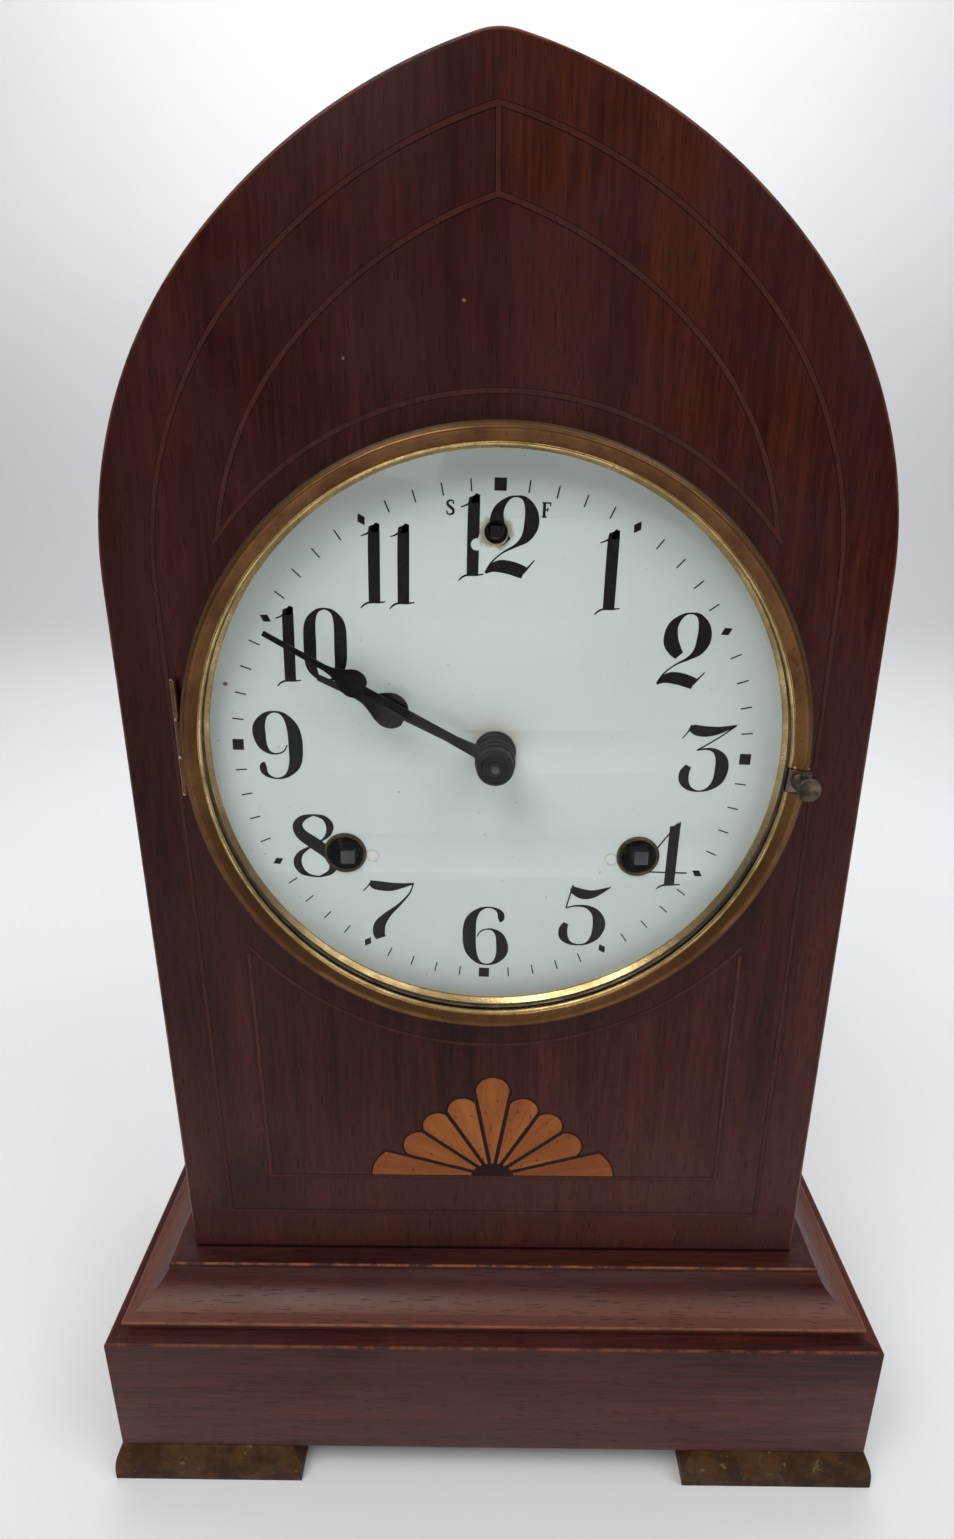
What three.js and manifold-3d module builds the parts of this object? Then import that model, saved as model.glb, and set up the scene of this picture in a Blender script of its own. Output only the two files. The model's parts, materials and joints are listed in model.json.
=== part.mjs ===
// Lancet mantel clock: mahogany case, brass bezel door, eight-day time-and-strike pendulum movement.
// Millimetres, +Z up, the dial faces -Y and the feet stand on z = 0.
import * as THREE from 'three';
import { mergeVertices } from 'three/addons/utils/BufferGeometryUtils.js';
import Module from 'manifold-3d';

const wasm = await Module();
wasm.setup();

// Case
const dialHeight = 221;
const bodyWidth = 178;
const bodyDepth = 97;
const springRise = 39.7;
const haunchRadius = 96.4;
const haunchAngle = 42.9;
const crownRadius = 126.2;
const tipRadius = 15;
const panelThickness = 12;
const rimThickness = 9;
const backThickness = 8;
const fit = 0.3;

// Base
const footHeight = 11.2;
const footLength = 55.5;
const footDepth = 40;
const footFillet = 3;
const footSpread = 2.4;
const plinthHeight = 40.8;
const plinthOverhang = 20.7;
const plinthThickness = 12;
const neckHeight = 2.5;
const neckOverhang = 15.4;
const coveOverhang = 16.9;
const coveFillet = 1.5;
const coveHeight = 8;
const shelfFillet = 1.5;
const shelfMargin = 5.9;

// Fan inlay, half of its petals from the base line up to the middle one
const petalAngles = [7, 28.5, 49.2, 70.5, 90];
const petalLengths = [34.6, 27.9, 27.6, 28.6, 34.2];
const petalHalfWidth = 4.2;
const petalRootHalfWidth = 1.2;
const petalRootRadius = 5;
const fanGroundRadius = 22;
const fanBaseDrop = 128;
const inlayThickness = 1;
const pocketFloor = 0.2;

// Dial and sight ring
const dialSetback = 1;
const dialThickness = 0.8;
const dialRadius = 70.8;
const dialWindowRadius = 60;
const centreHoleRadius = 5.1;
const regulatorHoleRadius = 2.8;
const grommetFlangeRadius = 5.8;
const grommetBarrelRadius = 5;
const grommetBoreRadius = 4.4;
const grommetFlange = 0.5;
const grommetBarrelLength = 5;
const sightRingInner = 67.8;
const sightRingHeight = 1.2;

// Bezel door
const bezelOuter = 73.6;
const bezelLipInner = 68.6;
const bezelSeatInner = 70.6;
const bezelBackGap = 0.5;
const bezelHeight = 6.4;
const bezelSeatDepth = 4.2;
const bezelBevel = 1.4;
const bezelRidgeWidth = 0.5;
const bezelLipThickness = 0.5;
const glassThickness = 1.5;
const glassRise = 13;
const retainerWidth = 1.2;
const retainerHeight = 1.1;
const knobAngle = -3.9;
const knobPlateWidth = 5.4;
const knobPlateMargin = 0.2;
const knobPlateDepth = 1.8;
const knobStemRadius = 1.5;
const knobHeadRadius = 2.6;
const knobReach = 12.4;
const bezelHingeHeight = 28;
const bezelHingeRise = 4;
const bezelBarrelRadius = 1.25;
const bezelHingeSide = 1.5;
const bezelHingeProud = 1.5;
const bezelLeafThickness = 0.8;
const bezelLeafDepth = 6;
const bezelPinRadius = 0.6;

// Hands, set to the time shown
const shownMinute = 49.9;
const shownHour = 9 + shownMinute / 60;
const minuteHandLength = 60.1;
const minuteSpadeStart = 33.8;
const minuteSpadeHalfWidth = 3.2;
const hourHandLength = 45.1;
const hourSpadeStart = 22.8;
const hourSpadeHalfWidth = 4.2;
const handBarHalfWidth = 1.05;
const handTipHalfWidth = 0.5;
const handHubRadius = 4.7;
const handThickness = 0.8;
const hourHandStandoff = 5.8;
const hourHandTilt = 2.3;
const handSpacing = 3.3;
const minuteHandTilt = 3.2;
const colletGap = 0.6;
const nutRadius = 4.35;
const nutLength = 3.9;

// Movement plates
const plateThickness = 1.6;
const plateGap = 42;
const plateHalfWidth = 58;
const plateTop = 66;
const plateBottom = 60;
const plateCorner = 6;
const pillarRadius = 3;
const pillarInset = 6;
const windowRadius = 3;
const lowWindowHalfWidth = 9;
const lowWindowRise = 10;
const lowWindowDrop = 14;
const sideWindowLow = 8;
const sideWindowDrop = 16;
const rightWindowInner = 36;
const rightWindowWidth = 14;
const leftWindowInner = 20;
const leftWindowWidth = 11;

// Trains: positions from the dial centre, right and up
const windingHalfSpan = 36.5;
const windingDrop = 27;
const greatTeeth = 36;
const greatModule = 1.4;
const secondTrundles = 6;
const secondTeeth = 24;
const secondModule = 1.5;
const centrePinionTeeth = 12;
const centreTeeth = 60;
const centreModule = 0.8;
const thirdTrundles = 6;
const thirdTeeth = 60;
const thirdModule = 0.76;
const escapeTrundles = 6;
const escapeTeeth = 48;
const escapeRadius = 12.5;
const escapeToothDepth = 2.2;
const strikeSecondTeeth = 36;
const strikeThirdTeeth = 36;
const strikeModule = 0.9;
const strikeTrundles = 6;
const strikeSecondAngle = 90;
const strikeThirdAngle = 100;
const flyAngle = 90;
const flyHalfWidth = 11.5;
const flyLength = 16;
const flyThickness = 0.8;
const escapeAt = [12, 30];
const vergeAt = [0, 40];
const hammerAt = [-14, -52];
const regulatorRise = 51;

// Clear space in front of each wheel, spring or fly
const greatStandoff = 2.8;
const springStandoff = 1.6;
const thirdStandoff = 4;
const strikeThirdStandoff = 6.4;
const secondStandoff = 3;
const centreStandoff = 2.8;
const strikeSecondStandoff = 1.6;
const flyStandoff = 4.4;
const escapeStandoff = 1.4;
const hourStandoff = 2.2;
const minuteStandoff = 2;
const minuteStudStandoff = 1.4;

// Wheel cutting, as shares of the module or of the tooth pitch
const toothAddendum = 0.9;
const toothDedendum = 1.2;
const toothRootShare = 0.6;
const trundleShare = 0.5;
const shroudLip = 0.5;
const shroudThickness = 0.8;
const shroudGap = 0.8;
const wheelThickness = 1.6;
const wheelRim = 2.6;
const wheelHub = 4.6;
const spokeCount = 4;
const spokeHalfAngle = 11;
const arborRadius = 1.2;
const pivotRadius = 0.85;
const pivotClearance = 0.35;
const pivotEnd = 1;
const squareRoot = 1;

// Motion work
const cannonTeeth = 8;
const minuteWheelTeeth = 24;
const minutePinionTeeth = 6;
const hourWheelTeeth = 24;
const cannonModule = 1.3;
const minuteWheelAngle = -60;
const minuteStudRadius = 1.5;
const centreArborRadius = 2;
const centreTipRadius = 1.4;
const hourPipeInner = 2.4;
const hourPipeOuter = 3.4;

// Winding
const windingArborRadius = 3;
const windingSquare = 4.2;
const windingSquareSetback = 1.4;
const ratchetTeeth = 14;
const ratchetRadius = 9;
const ratchetToothDepth = 1.6;
const clickLength = 8;
const clickWidth = 3;
const clickCorner = 1;
const springWidth = 19;
const springThickness = 0.5;
const springInner = 3.6;
const springOuter = 21.5;
const springTurns = 4;
const springStepsPerTurn = 14;
const springLoopClearance = 0.6;

// Pendulum, verge and regulator
const swing = 4.5;
const pendulumLength = 139.8;
const suspensionRise = 44;
const rodRadius = 0.8;
const bobRadius = 18;
const bobThickness = 9;
const bobSleeveRadius = 2;
const ratingNutRadius = 3.2;
const ratingNutHeight = 2.4;
const rodTail = 5;
const rodTailEnd = 1;
const crutchReach = 36;
const palletClearance = 1.1;
const vergeStrip = 1.6;
const vergeSpan = 38;
const vergeHub = 3;
const vergeStudLength = 6;
const palletWidth = 5;
const crutchStandoff = 4;
const crutchThickness = 1.4;
const crutchPlay = 0.5;
const loopWall = 1.2;
const rodStandoff = 1.2;
const regulatorRadius = 1.6;
const regulatorSquare = 2.4;
const rackModule = 0.5;
const rackPinionTeeth = 8;
const sliderThickness = 2;
const sliderWidth = 8;
const sliderTravel = 1.6;
const guideRadius = 1.2;
const guideOffset = 7;
const guideRises = [50, 62];
const guideHead = 1;
const sliderTopMargin = 3;
const fingerDepth = 1.6;
const fingerRise = 1.4;
const suspensionPinRadius = 1;

// Gong and hammer
const gongOuter = 45;
const gongInner = 11;
const gongTurns = 3;
const gongWire = 2.6;
const gongClearance = 12;
const gongStepsPerTurn = 24;
const gongLead = 4;
const gongBossRadius = 6;
const gongFootWidth = 44;
const gongFootDepth = 20;
const gongFootHeight = 5.5;
const gongPostWidth = 10;
const gongPostDepth = 7.5;
const gongStandGap = 2;
const gongPostGap = 2;
const hammerContactAngle = 150;
const hammerHeadRadius = 4;
const hammerHeadLength = 10;
const hammerGap = 2;
const hammerArmHalf = 1.3;
const hammerArmThickness = 2;
const hammerArmGap = 1;

// Back door
const doorStile = 41;
const doorSill = 22.5;
const doorSpringDrop = 31;
const doorGap = 0.6;
const backHingeLength = 50;
const backHingeDrop = 71;
const backBarrelRadius = 1.6;
const backPinRadius = 0.8;
const backLeafWidth = 11;
const backLeafThickness = 1;
const doorKnobRadius = 6;
const doorKnobLength = 8;
const doorKnobInset = 10;
const buttonLength = 22;
const buttonWidth = 7;
const buttonThickness = 1.5;
const buttonOffset = 7;
const buttonScrewRadius = 1.5;

// Facets
const roundSteps = 40;
const smallSteps = 10;
const arborSteps = 6;
const haunchSteps = 6;
const crownSteps = 7;
const tipSteps = 2;

// Levels worked out from the sizes above
const plinthTop = footHeight + plinthHeight;
const shelfTop = plinthTop + neckHeight + coveFillet + coveHeight + shelfFillet;
const dialBack = dialSetback + dialThickness;
const frontPlateFront = panelThickness;
const frontPlateBack = frontPlateFront + plateThickness;
const backPlateFront = frontPlateBack + plateGap;
const backPlateBack = backPlateFront + plateThickness;
const bodyBack = bodyDepth;
const backInside = bodyDepth - backThickness;
const rearReach = bodyBack + doorKnobLength;
const frontReach = plinthOverhang + footSpread;
const doorHalfWidth = bodyWidth / 2 - doorStile;
const doorBottom = shelfTop + doorSill;
const doorSpring = dialHeight - doorSpringDrop;
const backHingeHeight = dialHeight - backHingeDrop;

const radians = (degrees) => (degrees * Math.PI) / 180;
const polar = (radius, angle, at = [0, 0]) => [
  at[0] + radius * Math.cos(angle),
  at[1] + radius * Math.sin(angle),
];

// Geometry to solid and back
function toSolid(geometry) {
  const bare = geometry.clone();
  bare.deleteAttribute('normal');
  bare.deleteAttribute('uv');
  const merged = mergeVertices(bare, 1e-4);
  const points = merged.attributes.position;
  const corners = [...merged.index.array];
  const triangles = [];
  let volume = 0;
  const [a, b, c] = [new THREE.Vector3(), new THREE.Vector3(), new THREE.Vector3()];
  for (let i = 0; i < corners.length; i += 3) {
    const [p, q, r] = corners.slice(i, i + 3);
    if (p === q || q === r || r === p) continue;
    triangles.push([p, q, r]);
    a.fromBufferAttribute(points, p);
    b.fromBufferAttribute(points, q);
    c.fromBufferAttribute(points, r);
    volume += a.dot(b.cross(c));
  }
  const facing = volume < 0 ? triangles.map(([p, q, r]) => [p, r, q]) : triangles;
  return new wasm.Manifold(new wasm.Mesh({
    numProp: 3,
    vertProperties: Float32Array.from(points.array),
    triVerts: Uint32Array.from(facing.flat()),
  }));
}

function toGeometry(solid) {
  const mesh = solid.getMesh();
  const geometry = new THREE.BufferGeometry();
  geometry.setAttribute('position', new THREE.BufferAttribute(mesh.vertProperties, 3));
  geometry.setIndex(new THREE.BufferAttribute(mesh.triVerts, 1));
  geometry.computeVertexNormals();
  return geometry;
}

const join = (first, ...others) => others.reduce((whole, other) => whole.add(other), first);
const cut = (first, ...others) => others.reduce((whole, other) => whole.subtract(other), first);

// Outlines are lists of [across, up] points
const vectors = (points) => points.map(([across, up]) => new THREE.Vector2(across, up));
const mirrored = (points) => points.map(([across, up]) => [-across, up]);

function arc(centre, radius, from, to, steps) {
  return Array.from({ length: steps + 1 }, (_, i) => polar(radius, from + ((to - from) * i) / steps, centre));
}

const circle = (radius, steps, at = [0, 0]) => arc(at, radius, 0, 2 * Math.PI, steps).slice(0, steps);

function roundedBox(left, right, low, high, radius) {
  const quarter = Math.PI / 2;
  const corners = [[right - radius, high - radius], [left + radius, high - radius],
    [left + radius, low + radius], [right - radius, low + radius]];
  return corners.flatMap((corner, i) => arc(corner, radius, i * quarter, (i + 1) * quarter, 2));
}

function extrude(outline, holes, depth) {
  const shape = new THREE.Shape(vectors(outline));
  shape.holes = holes.map((hole) => new THREE.Path(vectors(hole)));
  return new THREE.ExtrudeGeometry(shape, { depth, bevelEnabled: false });
}

// A flat piece seen from the front: the outline is across and up, the thickness runs backwards
function plate(outline, front, thickness, holes = []) {
  const geometry = extrude(outline, holes, thickness);
  geometry.rotateX(Math.PI / 2);
  geometry.translate(0, front + thickness, 0);
  return toSolid(geometry);
}

// A flat piece seen from above: the outline is across and backwards, the height runs up
function slab(outline, bottom, height, holes = []) {
  const geometry = extrude(outline, holes, height);
  geometry.translate(0, 0, bottom);
  return toSolid(geometry);
}

// A piece seen from the side: the outline is backwards and up, the width runs across
function rail(outline, left, width) {
  const geometry = extrude(outline, [], width);
  geometry.rotateX(Math.PI / 2);
  geometry.rotateZ(Math.PI / 2);
  geometry.translate(left, 0, 0);
  return toSolid(geometry);
}

// A turned piece about an axis that runs backwards: the profile is [radius, depth] points
function turned(profile, steps, at = [0, 0]) {
  const geometry = new THREE.LatheGeometry(vectors(profile), steps);
  geometry.translate(at[0], 0, at[1]);
  return toSolid(geometry);
}

function rod(radius, front, back, at, steps = arborSteps) {
  return turned([[0, front], [radius, front], [radius, back], [0, back]], steps, at);
}

function ring(inner, outer, front, back, steps, at) {
  return turned([[inner, front], [outer, front], [outer, back], [inner, back], [inner, front]], steps, at);
}

function upright(radius, bottom, top, x, y, steps = smallSteps) {
  return slab(circle(radius, steps, [x, y]), bottom, top - bottom);
}

function block(left, right, front, back, bottom, top) {
  return slab([[left, front], [right, front], [right, back], [left, back]], bottom, top - bottom);
}

// Materials
const finish = (color, roughness, metalness) => () => (
  new THREE.MeshStandardMaterial({ color, roughness, metalness })
);
const mahogany = finish(0x4a1f1a, 0.4, 0);
const softwood = finish(0x7a5636, 0.7, 0);
const satinwood = finish(0xa8622c, 0.5, 0);
const agedBrass = finish(0x8a6430, 0.4, 1);
const plateBrass = finish(0xb48c4a, 0.35, 1);
const blackSteel = finish(0x17161a, 0.45, 0.8);
const steel = finish(0x85858a, 0.35, 1);
const castIron = finish(0x2b2a2a, 0.7, 0.6);
const whiteEnamel = finish(0xdfe6e6, 0.35, 0);
const clearGlass = finish(0xe8f0f0, 0.05, 0);

const clock = new THREE.Group();
clock.position.y = (frontReach - rearReach) / 2;
const dialGroup = new THREE.Group();
dialGroup.position.z = dialHeight;
clock.add(dialGroup);

function addPiece(parent, name, solid, material) {
  const mesh = new THREE.Mesh(toGeometry(solid), material());
  mesh.name = name;
  parent.add(mesh);
}

const addCase = (name, solid, material) => addPiece(clock, name, solid, material);
const addDial = (name, solid, material) => addPiece(dialGroup, name, solid, material);

// Half of the lancet outline, inset from the outside: haunch, crown and rounded point in tangent arcs
function lancetSide(inset) {
  const turn = radians(haunchAngle);
  const spring = dialHeight + springRise;
  const haunch = [bodyWidth / 2 - haunchRadius, spring];
  const crown = polar(haunchRadius - crownRadius, turn, haunch);
  const tipAngle = Math.acos(-crown[0] / (crownRadius - tipRadius));
  const tip = polar(crownRadius - tipRadius, tipAngle, crown);
  const lower = arc(haunch, haunchRadius - inset, 0, turn, haunchSteps);
  const upper = arc(crown, crownRadius - inset, turn, tipAngle, crownSteps);
  const point = arc(tip, tipRadius - inset, tipAngle, Math.PI / 2, tipSteps);
  return [[bodyWidth / 2 - inset, shelfTop], ...lower, ...upper.slice(1), ...point.slice(1)];
}

function lancet(inset) {
  const side = lancetSide(inset);
  return [...side, ...mirrored(side).reverse().slice(1)];
}

// Fan inlay, seen from the front; grow widens it into the pocket that holds it
function fan(front, thickness, grow) {
  const base = dialHeight - fanBaseDrop;
  const half = petalAngles.map((angle, i) => [angle, petalLengths[i]]);
  const petals = [...half, ...half.slice(0, -1).map(([angle, length]) => [180 - angle, length])];
  const ground = arc([0, base], fanGroundRadius + grow, 0, Math.PI, smallSteps);
  const pieces = petals.map(([angle, length]) => {
    const lean = radians(angle);
    const tip = polar(length - petalHalfWidth, lean, [0, base]);
    const root = polar(petalRootRadius, lean, [0, base]);
    const outline = [
      polar(petalRootHalfWidth + grow, lean - Math.PI / 2, root),
      ...arc(tip, petalHalfWidth + grow, lean - Math.PI / 2, lean + Math.PI / 2, 4),
      polar(petalRootHalfWidth + grow, lean + Math.PI / 2, root),
    ];
    return plate(outline, front, thickness);
  });
  const whole = join(plate(ground, front, thickness), ...pieces);
  const aboveBase = block(-bodyWidth, bodyWidth, -bodyDepth, bodyDepth, base - grow, base + bodyWidth);
  return whole.intersect(aboveBase);
}

// Case carcass
const dialAt = [0, dialHeight];
const pocketMargin = 1;
const dialRecess = ring(
  dialWindowRadius - pocketMargin, dialRadius + fit, -pocketMargin, dialBack, roundSteps, dialAt,
);
const bezelAxis = [-(bezelOuter + bezelHingeSide), -bezelHingeProud];
const bezelHingeLow = dialHeight + bezelHingeRise - bezelHingeHeight / 2;
const bezelHingeTop = bezelHingeLow + bezelHingeHeight;
const leafSlot = block(
  bezelAxis[0] - bezelLeafThickness / 2 - fit, bezelAxis[0] + bezelLeafThickness / 2 + fit,
  -pocketMargin, bezelLeafDepth + fit, bezelHingeLow - fit, bezelHingeTop + fit,
);
const frontPanel = cut(
  plate(lancet(0), 0, panelThickness, [circle(dialWindowRadius, roundSteps, dialAt)]),
  dialRecess,
  fan(-pocketMargin, pocketMargin + inlayThickness + pocketFloor, fit),
  leafSlot,
);
addCase('front_panel', frontPanel, mahogany);
addCase('fan_inlay', fan(0, inlayThickness, 0), satinwood);

const rimHalf = [...lancetSide(0), ...lancetSide(rimThickness).reverse()];
addCase('side_rim_right', plate(rimHalf, panelThickness, bodyBack - panelThickness), mahogany);
addCase('side_rim_left', plate(mirrored(rimHalf), panelThickness, bodyBack - panelThickness), mahogany);

function doorOutline(inset) {
  const radius = doorHalfWidth - inset;
  return [[radius, doorBottom + inset], ...arc([0, doorSpring], radius, 0, Math.PI, roundSteps / 2),
    [-radius, doorBottom + inset]];
}

const buttonAt = [doorHalfWidth + buttonOffset, backHingeHeight];
const buttonFront = bodyBack + fit;
const buttonBack = buttonFront + buttonThickness;
const buttonScrew = join(
  rod(buttonScrewRadius, bodyBack - backThickness / 2, buttonBack + fit, buttonAt),
  rod(2 * buttonScrewRadius, buttonBack + fit, buttonBack + fit + buttonScrewRadius, buttonAt),
);
const backPanel = plate(lancet(rimThickness + fit), backInside, backThickness, [doorOutline(0)]);
const screwHole = rod(buttonScrewRadius + fit, backInside - fit, bodyBack + fit, buttonAt);
addCase('back_panel', cut(backPanel, screwHole), softwood);
addCase('back_door', plate(doorOutline(doorGap), backInside, backThickness), softwood);
addCase('turn_button_screw', buttonScrew, plateBrass);
const buttonOutline = roundedBox(
  buttonAt[0] - buttonWidth / 2, buttonAt[0] + buttonWidth / 2,
  buttonAt[1] - buttonLength / 2, buttonAt[1] + buttonLength / 2, buttonWidth / 2 - fit,
);
const buttonHole = circle(buttonScrewRadius + fit, arborSteps, buttonAt);
addCase('turn_button', plate(buttonOutline, buttonFront, buttonThickness, [buttonHole]), plateBrass);
addCase('back_door_knob', turned([
  [0, bodyBack],
  [doorKnobRadius * 0.45, bodyBack],
  [doorKnobRadius * 0.4, bodyBack + doorKnobLength * 0.4],
  [doorKnobRadius, bodyBack + doorKnobLength * 0.6],
  [doorKnobRadius * 0.8, bodyBack + doorKnobLength * 0.9],
  [0, bodyBack + doorKnobLength],
], smallSteps, [doorHalfWidth - doorKnobInset, backHingeHeight]), plateBrass);

// Butt hinge of three knuckles on a vertical axis; the middle one turns with the door
function knuckle(axis, barrel, pin, bottom, top) {
  const hole = circle(pin + fit, arborSteps, axis);
  return slab(circle(barrel, smallSteps, axis), bottom, top - bottom, [hole]);
}

const backAxis = [-doorHalfWidth, bodyBack + backBarrelRadius + fit];
const backHingeLow = backHingeHeight - backHingeLength / 2;
const backThird = backHingeLength / 3;
const backKnuckle = (low, high) => knuckle(backAxis, backBarrelRadius, backPinRadius, low, high);
const pinGap = backPinRadius + fit;
const frameLeafEdge = backAxis[0] - backBarrelRadius - fit;
const doorLeafEdge = backAxis[0] + backBarrelRadius + fit;
const leafBack = bodyBack + backLeafThickness;
const frameTongue = (low, high) => block(
  frameLeafEdge - fit, backAxis[0] - pinGap, bodyBack + fit, leafBack, low, high,
);
addCase('back_hinge_frame_leaf', join(
  block(frameLeafEdge - backLeafWidth, frameLeafEdge, bodyBack, leafBack,
    backHingeLow, backHingeLow + backHingeLength),
  backKnuckle(backHingeLow, backHingeLow + backThird - fit),
  frameTongue(backHingeLow, backHingeLow + backThird - fit),
  backKnuckle(backHingeLow + 2 * backThird + fit, backHingeLow + backHingeLength),
  frameTongue(backHingeLow + 2 * backThird + fit, backHingeLow + backHingeLength),
), plateBrass);
addCase('back_hinge_door_leaf', join(
  block(doorLeafEdge, doorLeafEdge + backLeafWidth, bodyBack, leafBack,
    backHingeLow, backHingeLow + backHingeLength),
  backKnuckle(backHingeLow + backThird, backHingeLow + 2 * backThird),
  block(backAxis[0] + pinGap, doorLeafEdge + fit, bodyBack + fit, leafBack,
    backHingeLow + backThird, backHingeLow + 2 * backThird),
), plateBrass);
addCase('back_hinge_pin', upright(
  backPinRadius, backHingeLow - fit, backHingeLow + backHingeLength + fit, ...backAxis, arborSteps,
), steel);

// Base: a moulded board on a mitred plinth
function moulded(reach, front, back, left, right) {
  const sides = reach.map(([out, up]) => [right + out, up]);
  const others = reach.map(([out, up]) => [left - out, up]).reverse();
  const face = reach.map(([out, up]) => [front - out, up]);
  const depthOutline = [...face, [back, reach.at(-1)[1]], [back, reach[0][1]]];
  return plate([...sides, ...others], front - bodyDepth, 3 * bodyDepth)
    .intersect(rail(depthOutline, left - bodyWidth, right - left + 2 * bodyWidth));
}

const coveLow = plinthTop + neckHeight + coveFillet;
const coveSweep = coveOverhang - shelfMargin;
const coveProfile = arc([0, 0], 1, 0, Math.PI / 2, 8).map(([along, up]) => [
  coveOverhang - coveSweep * up, coveLow + coveHeight * (1 - along),
]);
const baseProfile = [
  [neckOverhang, plinthTop],
  [neckOverhang, plinthTop + neckHeight],
  [coveOverhang, plinthTop + neckHeight],
  ...coveProfile,
  [shelfMargin, shelfTop],
];
addCase('base_moulding', moulded(baseProfile, 0, bodyBack, -bodyWidth / 2, bodyWidth / 2), mahogany);

const plinthSide = bodyWidth / 2 + plinthOverhang;
const plinthInside = plinthSide - plinthThickness;
const plinthFront = -plinthOverhang;
const plinthInner = plinthFront + plinthThickness;
const plinthCheek = [[plinthSide, plinthFront], [plinthInside, plinthInner],
  [plinthInside, bodyBack], [plinthSide, bodyBack]];
addCase('plinth_front', slab([[-plinthSide, plinthFront], [plinthSide, plinthFront],
  [plinthInside, plinthInner], [-plinthInside, plinthInner]], footHeight, plinthHeight), mahogany);
addCase('plinth_right', slab(plinthCheek, footHeight, plinthHeight), mahogany);
addCase('plinth_left', slab(mirrored(plinthCheek), footHeight, plinthHeight), mahogany);
addCase('plinth_back', block(-plinthInside, plinthInside, bodyBack - plinthThickness, bodyBack,
  footHeight, plinthTop), mahogany);

// Feet: moulded on the face and both ends, straight behind
const footProfile = [
  [footSpread, 0],
  ...arc([0, 0], 1, 0, Math.PI / 2, 6).map(([along, up]) => [
    footSpread * along, footFillet + (footHeight - footFillet) * up,
  ]),
];

function foot(side, front, back) {
  const outer = side * plinthSide;
  const inner = outer - side * (footLength - 2 * footSpread);
  return moulded(footProfile, front, back, Math.min(outer, inner), Math.max(outer, inner));
}

for (const [name, side] of [['left', -1], ['right', 1]]) {
  addCase(`foot_front_${name}`, foot(side, plinthFront, plinthFront + footDepth), agedBrass);
  addCase(`foot_rear_${name}`, foot(side, bodyBack - footDepth + footSpread, bodyBack), agedBrass);
}

// Dial
const windings = { time: [windingHalfSpan, -windingDrop], strike: [-windingHalfSpan, -windingDrop] };
const regulatorAt = [0, regulatorRise];
addDial('dial_plate', plate(circle(dialRadius, roundSteps), dialSetback, dialThickness, [
  circle(centreHoleRadius, smallSteps),
  circle(grommetBarrelRadius + fit, smallSteps, windings.time),
  circle(grommetBarrelRadius + fit, smallSteps, windings.strike),
  circle(regulatorHoleRadius, smallSteps, regulatorAt),
]), whiteEnamel);
for (const [name, at] of Object.entries(windings)) {
  addDial(`${name}_grommet`, turned([
    [grommetBoreRadius, dialSetback - grommetFlange],
    [grommetFlangeRadius, dialSetback - grommetFlange],
    [grommetFlangeRadius, dialSetback],
    [grommetBarrelRadius, dialSetback],
    [grommetBarrelRadius, dialSetback + grommetBarrelLength],
    [grommetBoreRadius, dialSetback + grommetBarrelLength],
    [grommetBoreRadius, dialSetback - grommetFlange],
  ], smallSteps, at), plateBrass);
}
addDial('sight_ring', ring(
  sightRingInner, dialRadius, dialSetback - sightRingHeight, dialSetback, roundSteps,
), plateBrass);

// Bezel: bevelled outside, its face sloping in to a lip with a seat behind it for the glass
const bezelBack = -bezelBackGap;
const bezelSeat = bezelBack - bezelSeatDepth;
const bezelRidge = bezelBack - bezelHeight;
const ridgeOuter = bezelOuter - bezelBevel;
const bezelRing = turned([
  [bezelSeatInner, bezelBack], [bezelOuter, bezelBack], [bezelOuter, bezelSeat],
  [ridgeOuter, bezelRidge], [ridgeOuter - bezelRidgeWidth, bezelRidge],
  [bezelLipInner, bezelSeat - bezelLipThickness], [bezelLipInner, bezelSeat],
  [bezelSeatInner, bezelSeat], [bezelSeatInner, bezelBack],
], roundSteps);
const notchHalf = knobPlateWidth / 2 + fit;
const knobPlateInner = bezelLipInner + knobPlateMargin;
const knobPlateOuter = bezelOuter + knobPlateMargin;
function atKnob(solid) {
  return solid.rotate([0, -knobAngle, 0]);
}
const knobNotch = atKnob(block(
  bezelLipInner - pocketMargin, bezelOuter + pocketMargin, bezelRidge - pocketMargin, bezelSeat,
  -notchHalf, notchHalf,
));
const bezelThird = bezelHingeHeight / 3;
const tabLow = bezelHingeRise - bezelThird / 2 + fit;
const tabTop = bezelHingeRise + bezelThird / 2 - fit;
const tabInner = -(bezelOuter - bezelHingeSide / 2);
const tabFront = bezelAxis[1] - bezelBarrelRadius + fit;
const tabBack = bezelBack - fit;
const tabNotch = block(
  bezelAxis[0], tabInner + fit, tabFront - fit, bezelBack + fit, tabLow - fit, tabTop + fit,
);
addDial('bezel', cut(bezelRing, knobNotch, tabNotch), agedBrass);

const glassRadius = bezelSeatInner - fit;
const glassEdge = bezelSeat + 2 * fit;
const glassBall = (glassRadius ** 2 + glassRise ** 2) / (2 * glassRise);
const glassSag = (radius) => Math.sqrt(glassBall ** 2 - radius ** 2) - (glassBall - glassRise);
const glassRadii = [0, 0.35, 0.7, 1].map((share) => share * glassRadius);
const glassFront = glassRadii.map((radius) => [radius, glassEdge - glassSag(radius)]);
const glassBack = glassFront.map(([radius, depth]) => [radius, depth + glassThickness]).reverse();
addDial('bezel_glass', turned([...glassFront, ...glassBack], roundSteps), clearGlass);
const retainerFront = glassEdge + glassThickness + fit;
addDial('glass_retainer', ring(
  glassRadius - retainerWidth, glassRadius, retainerFront, retainerFront + retainerHeight, roundSteps,
), plateBrass);

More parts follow.
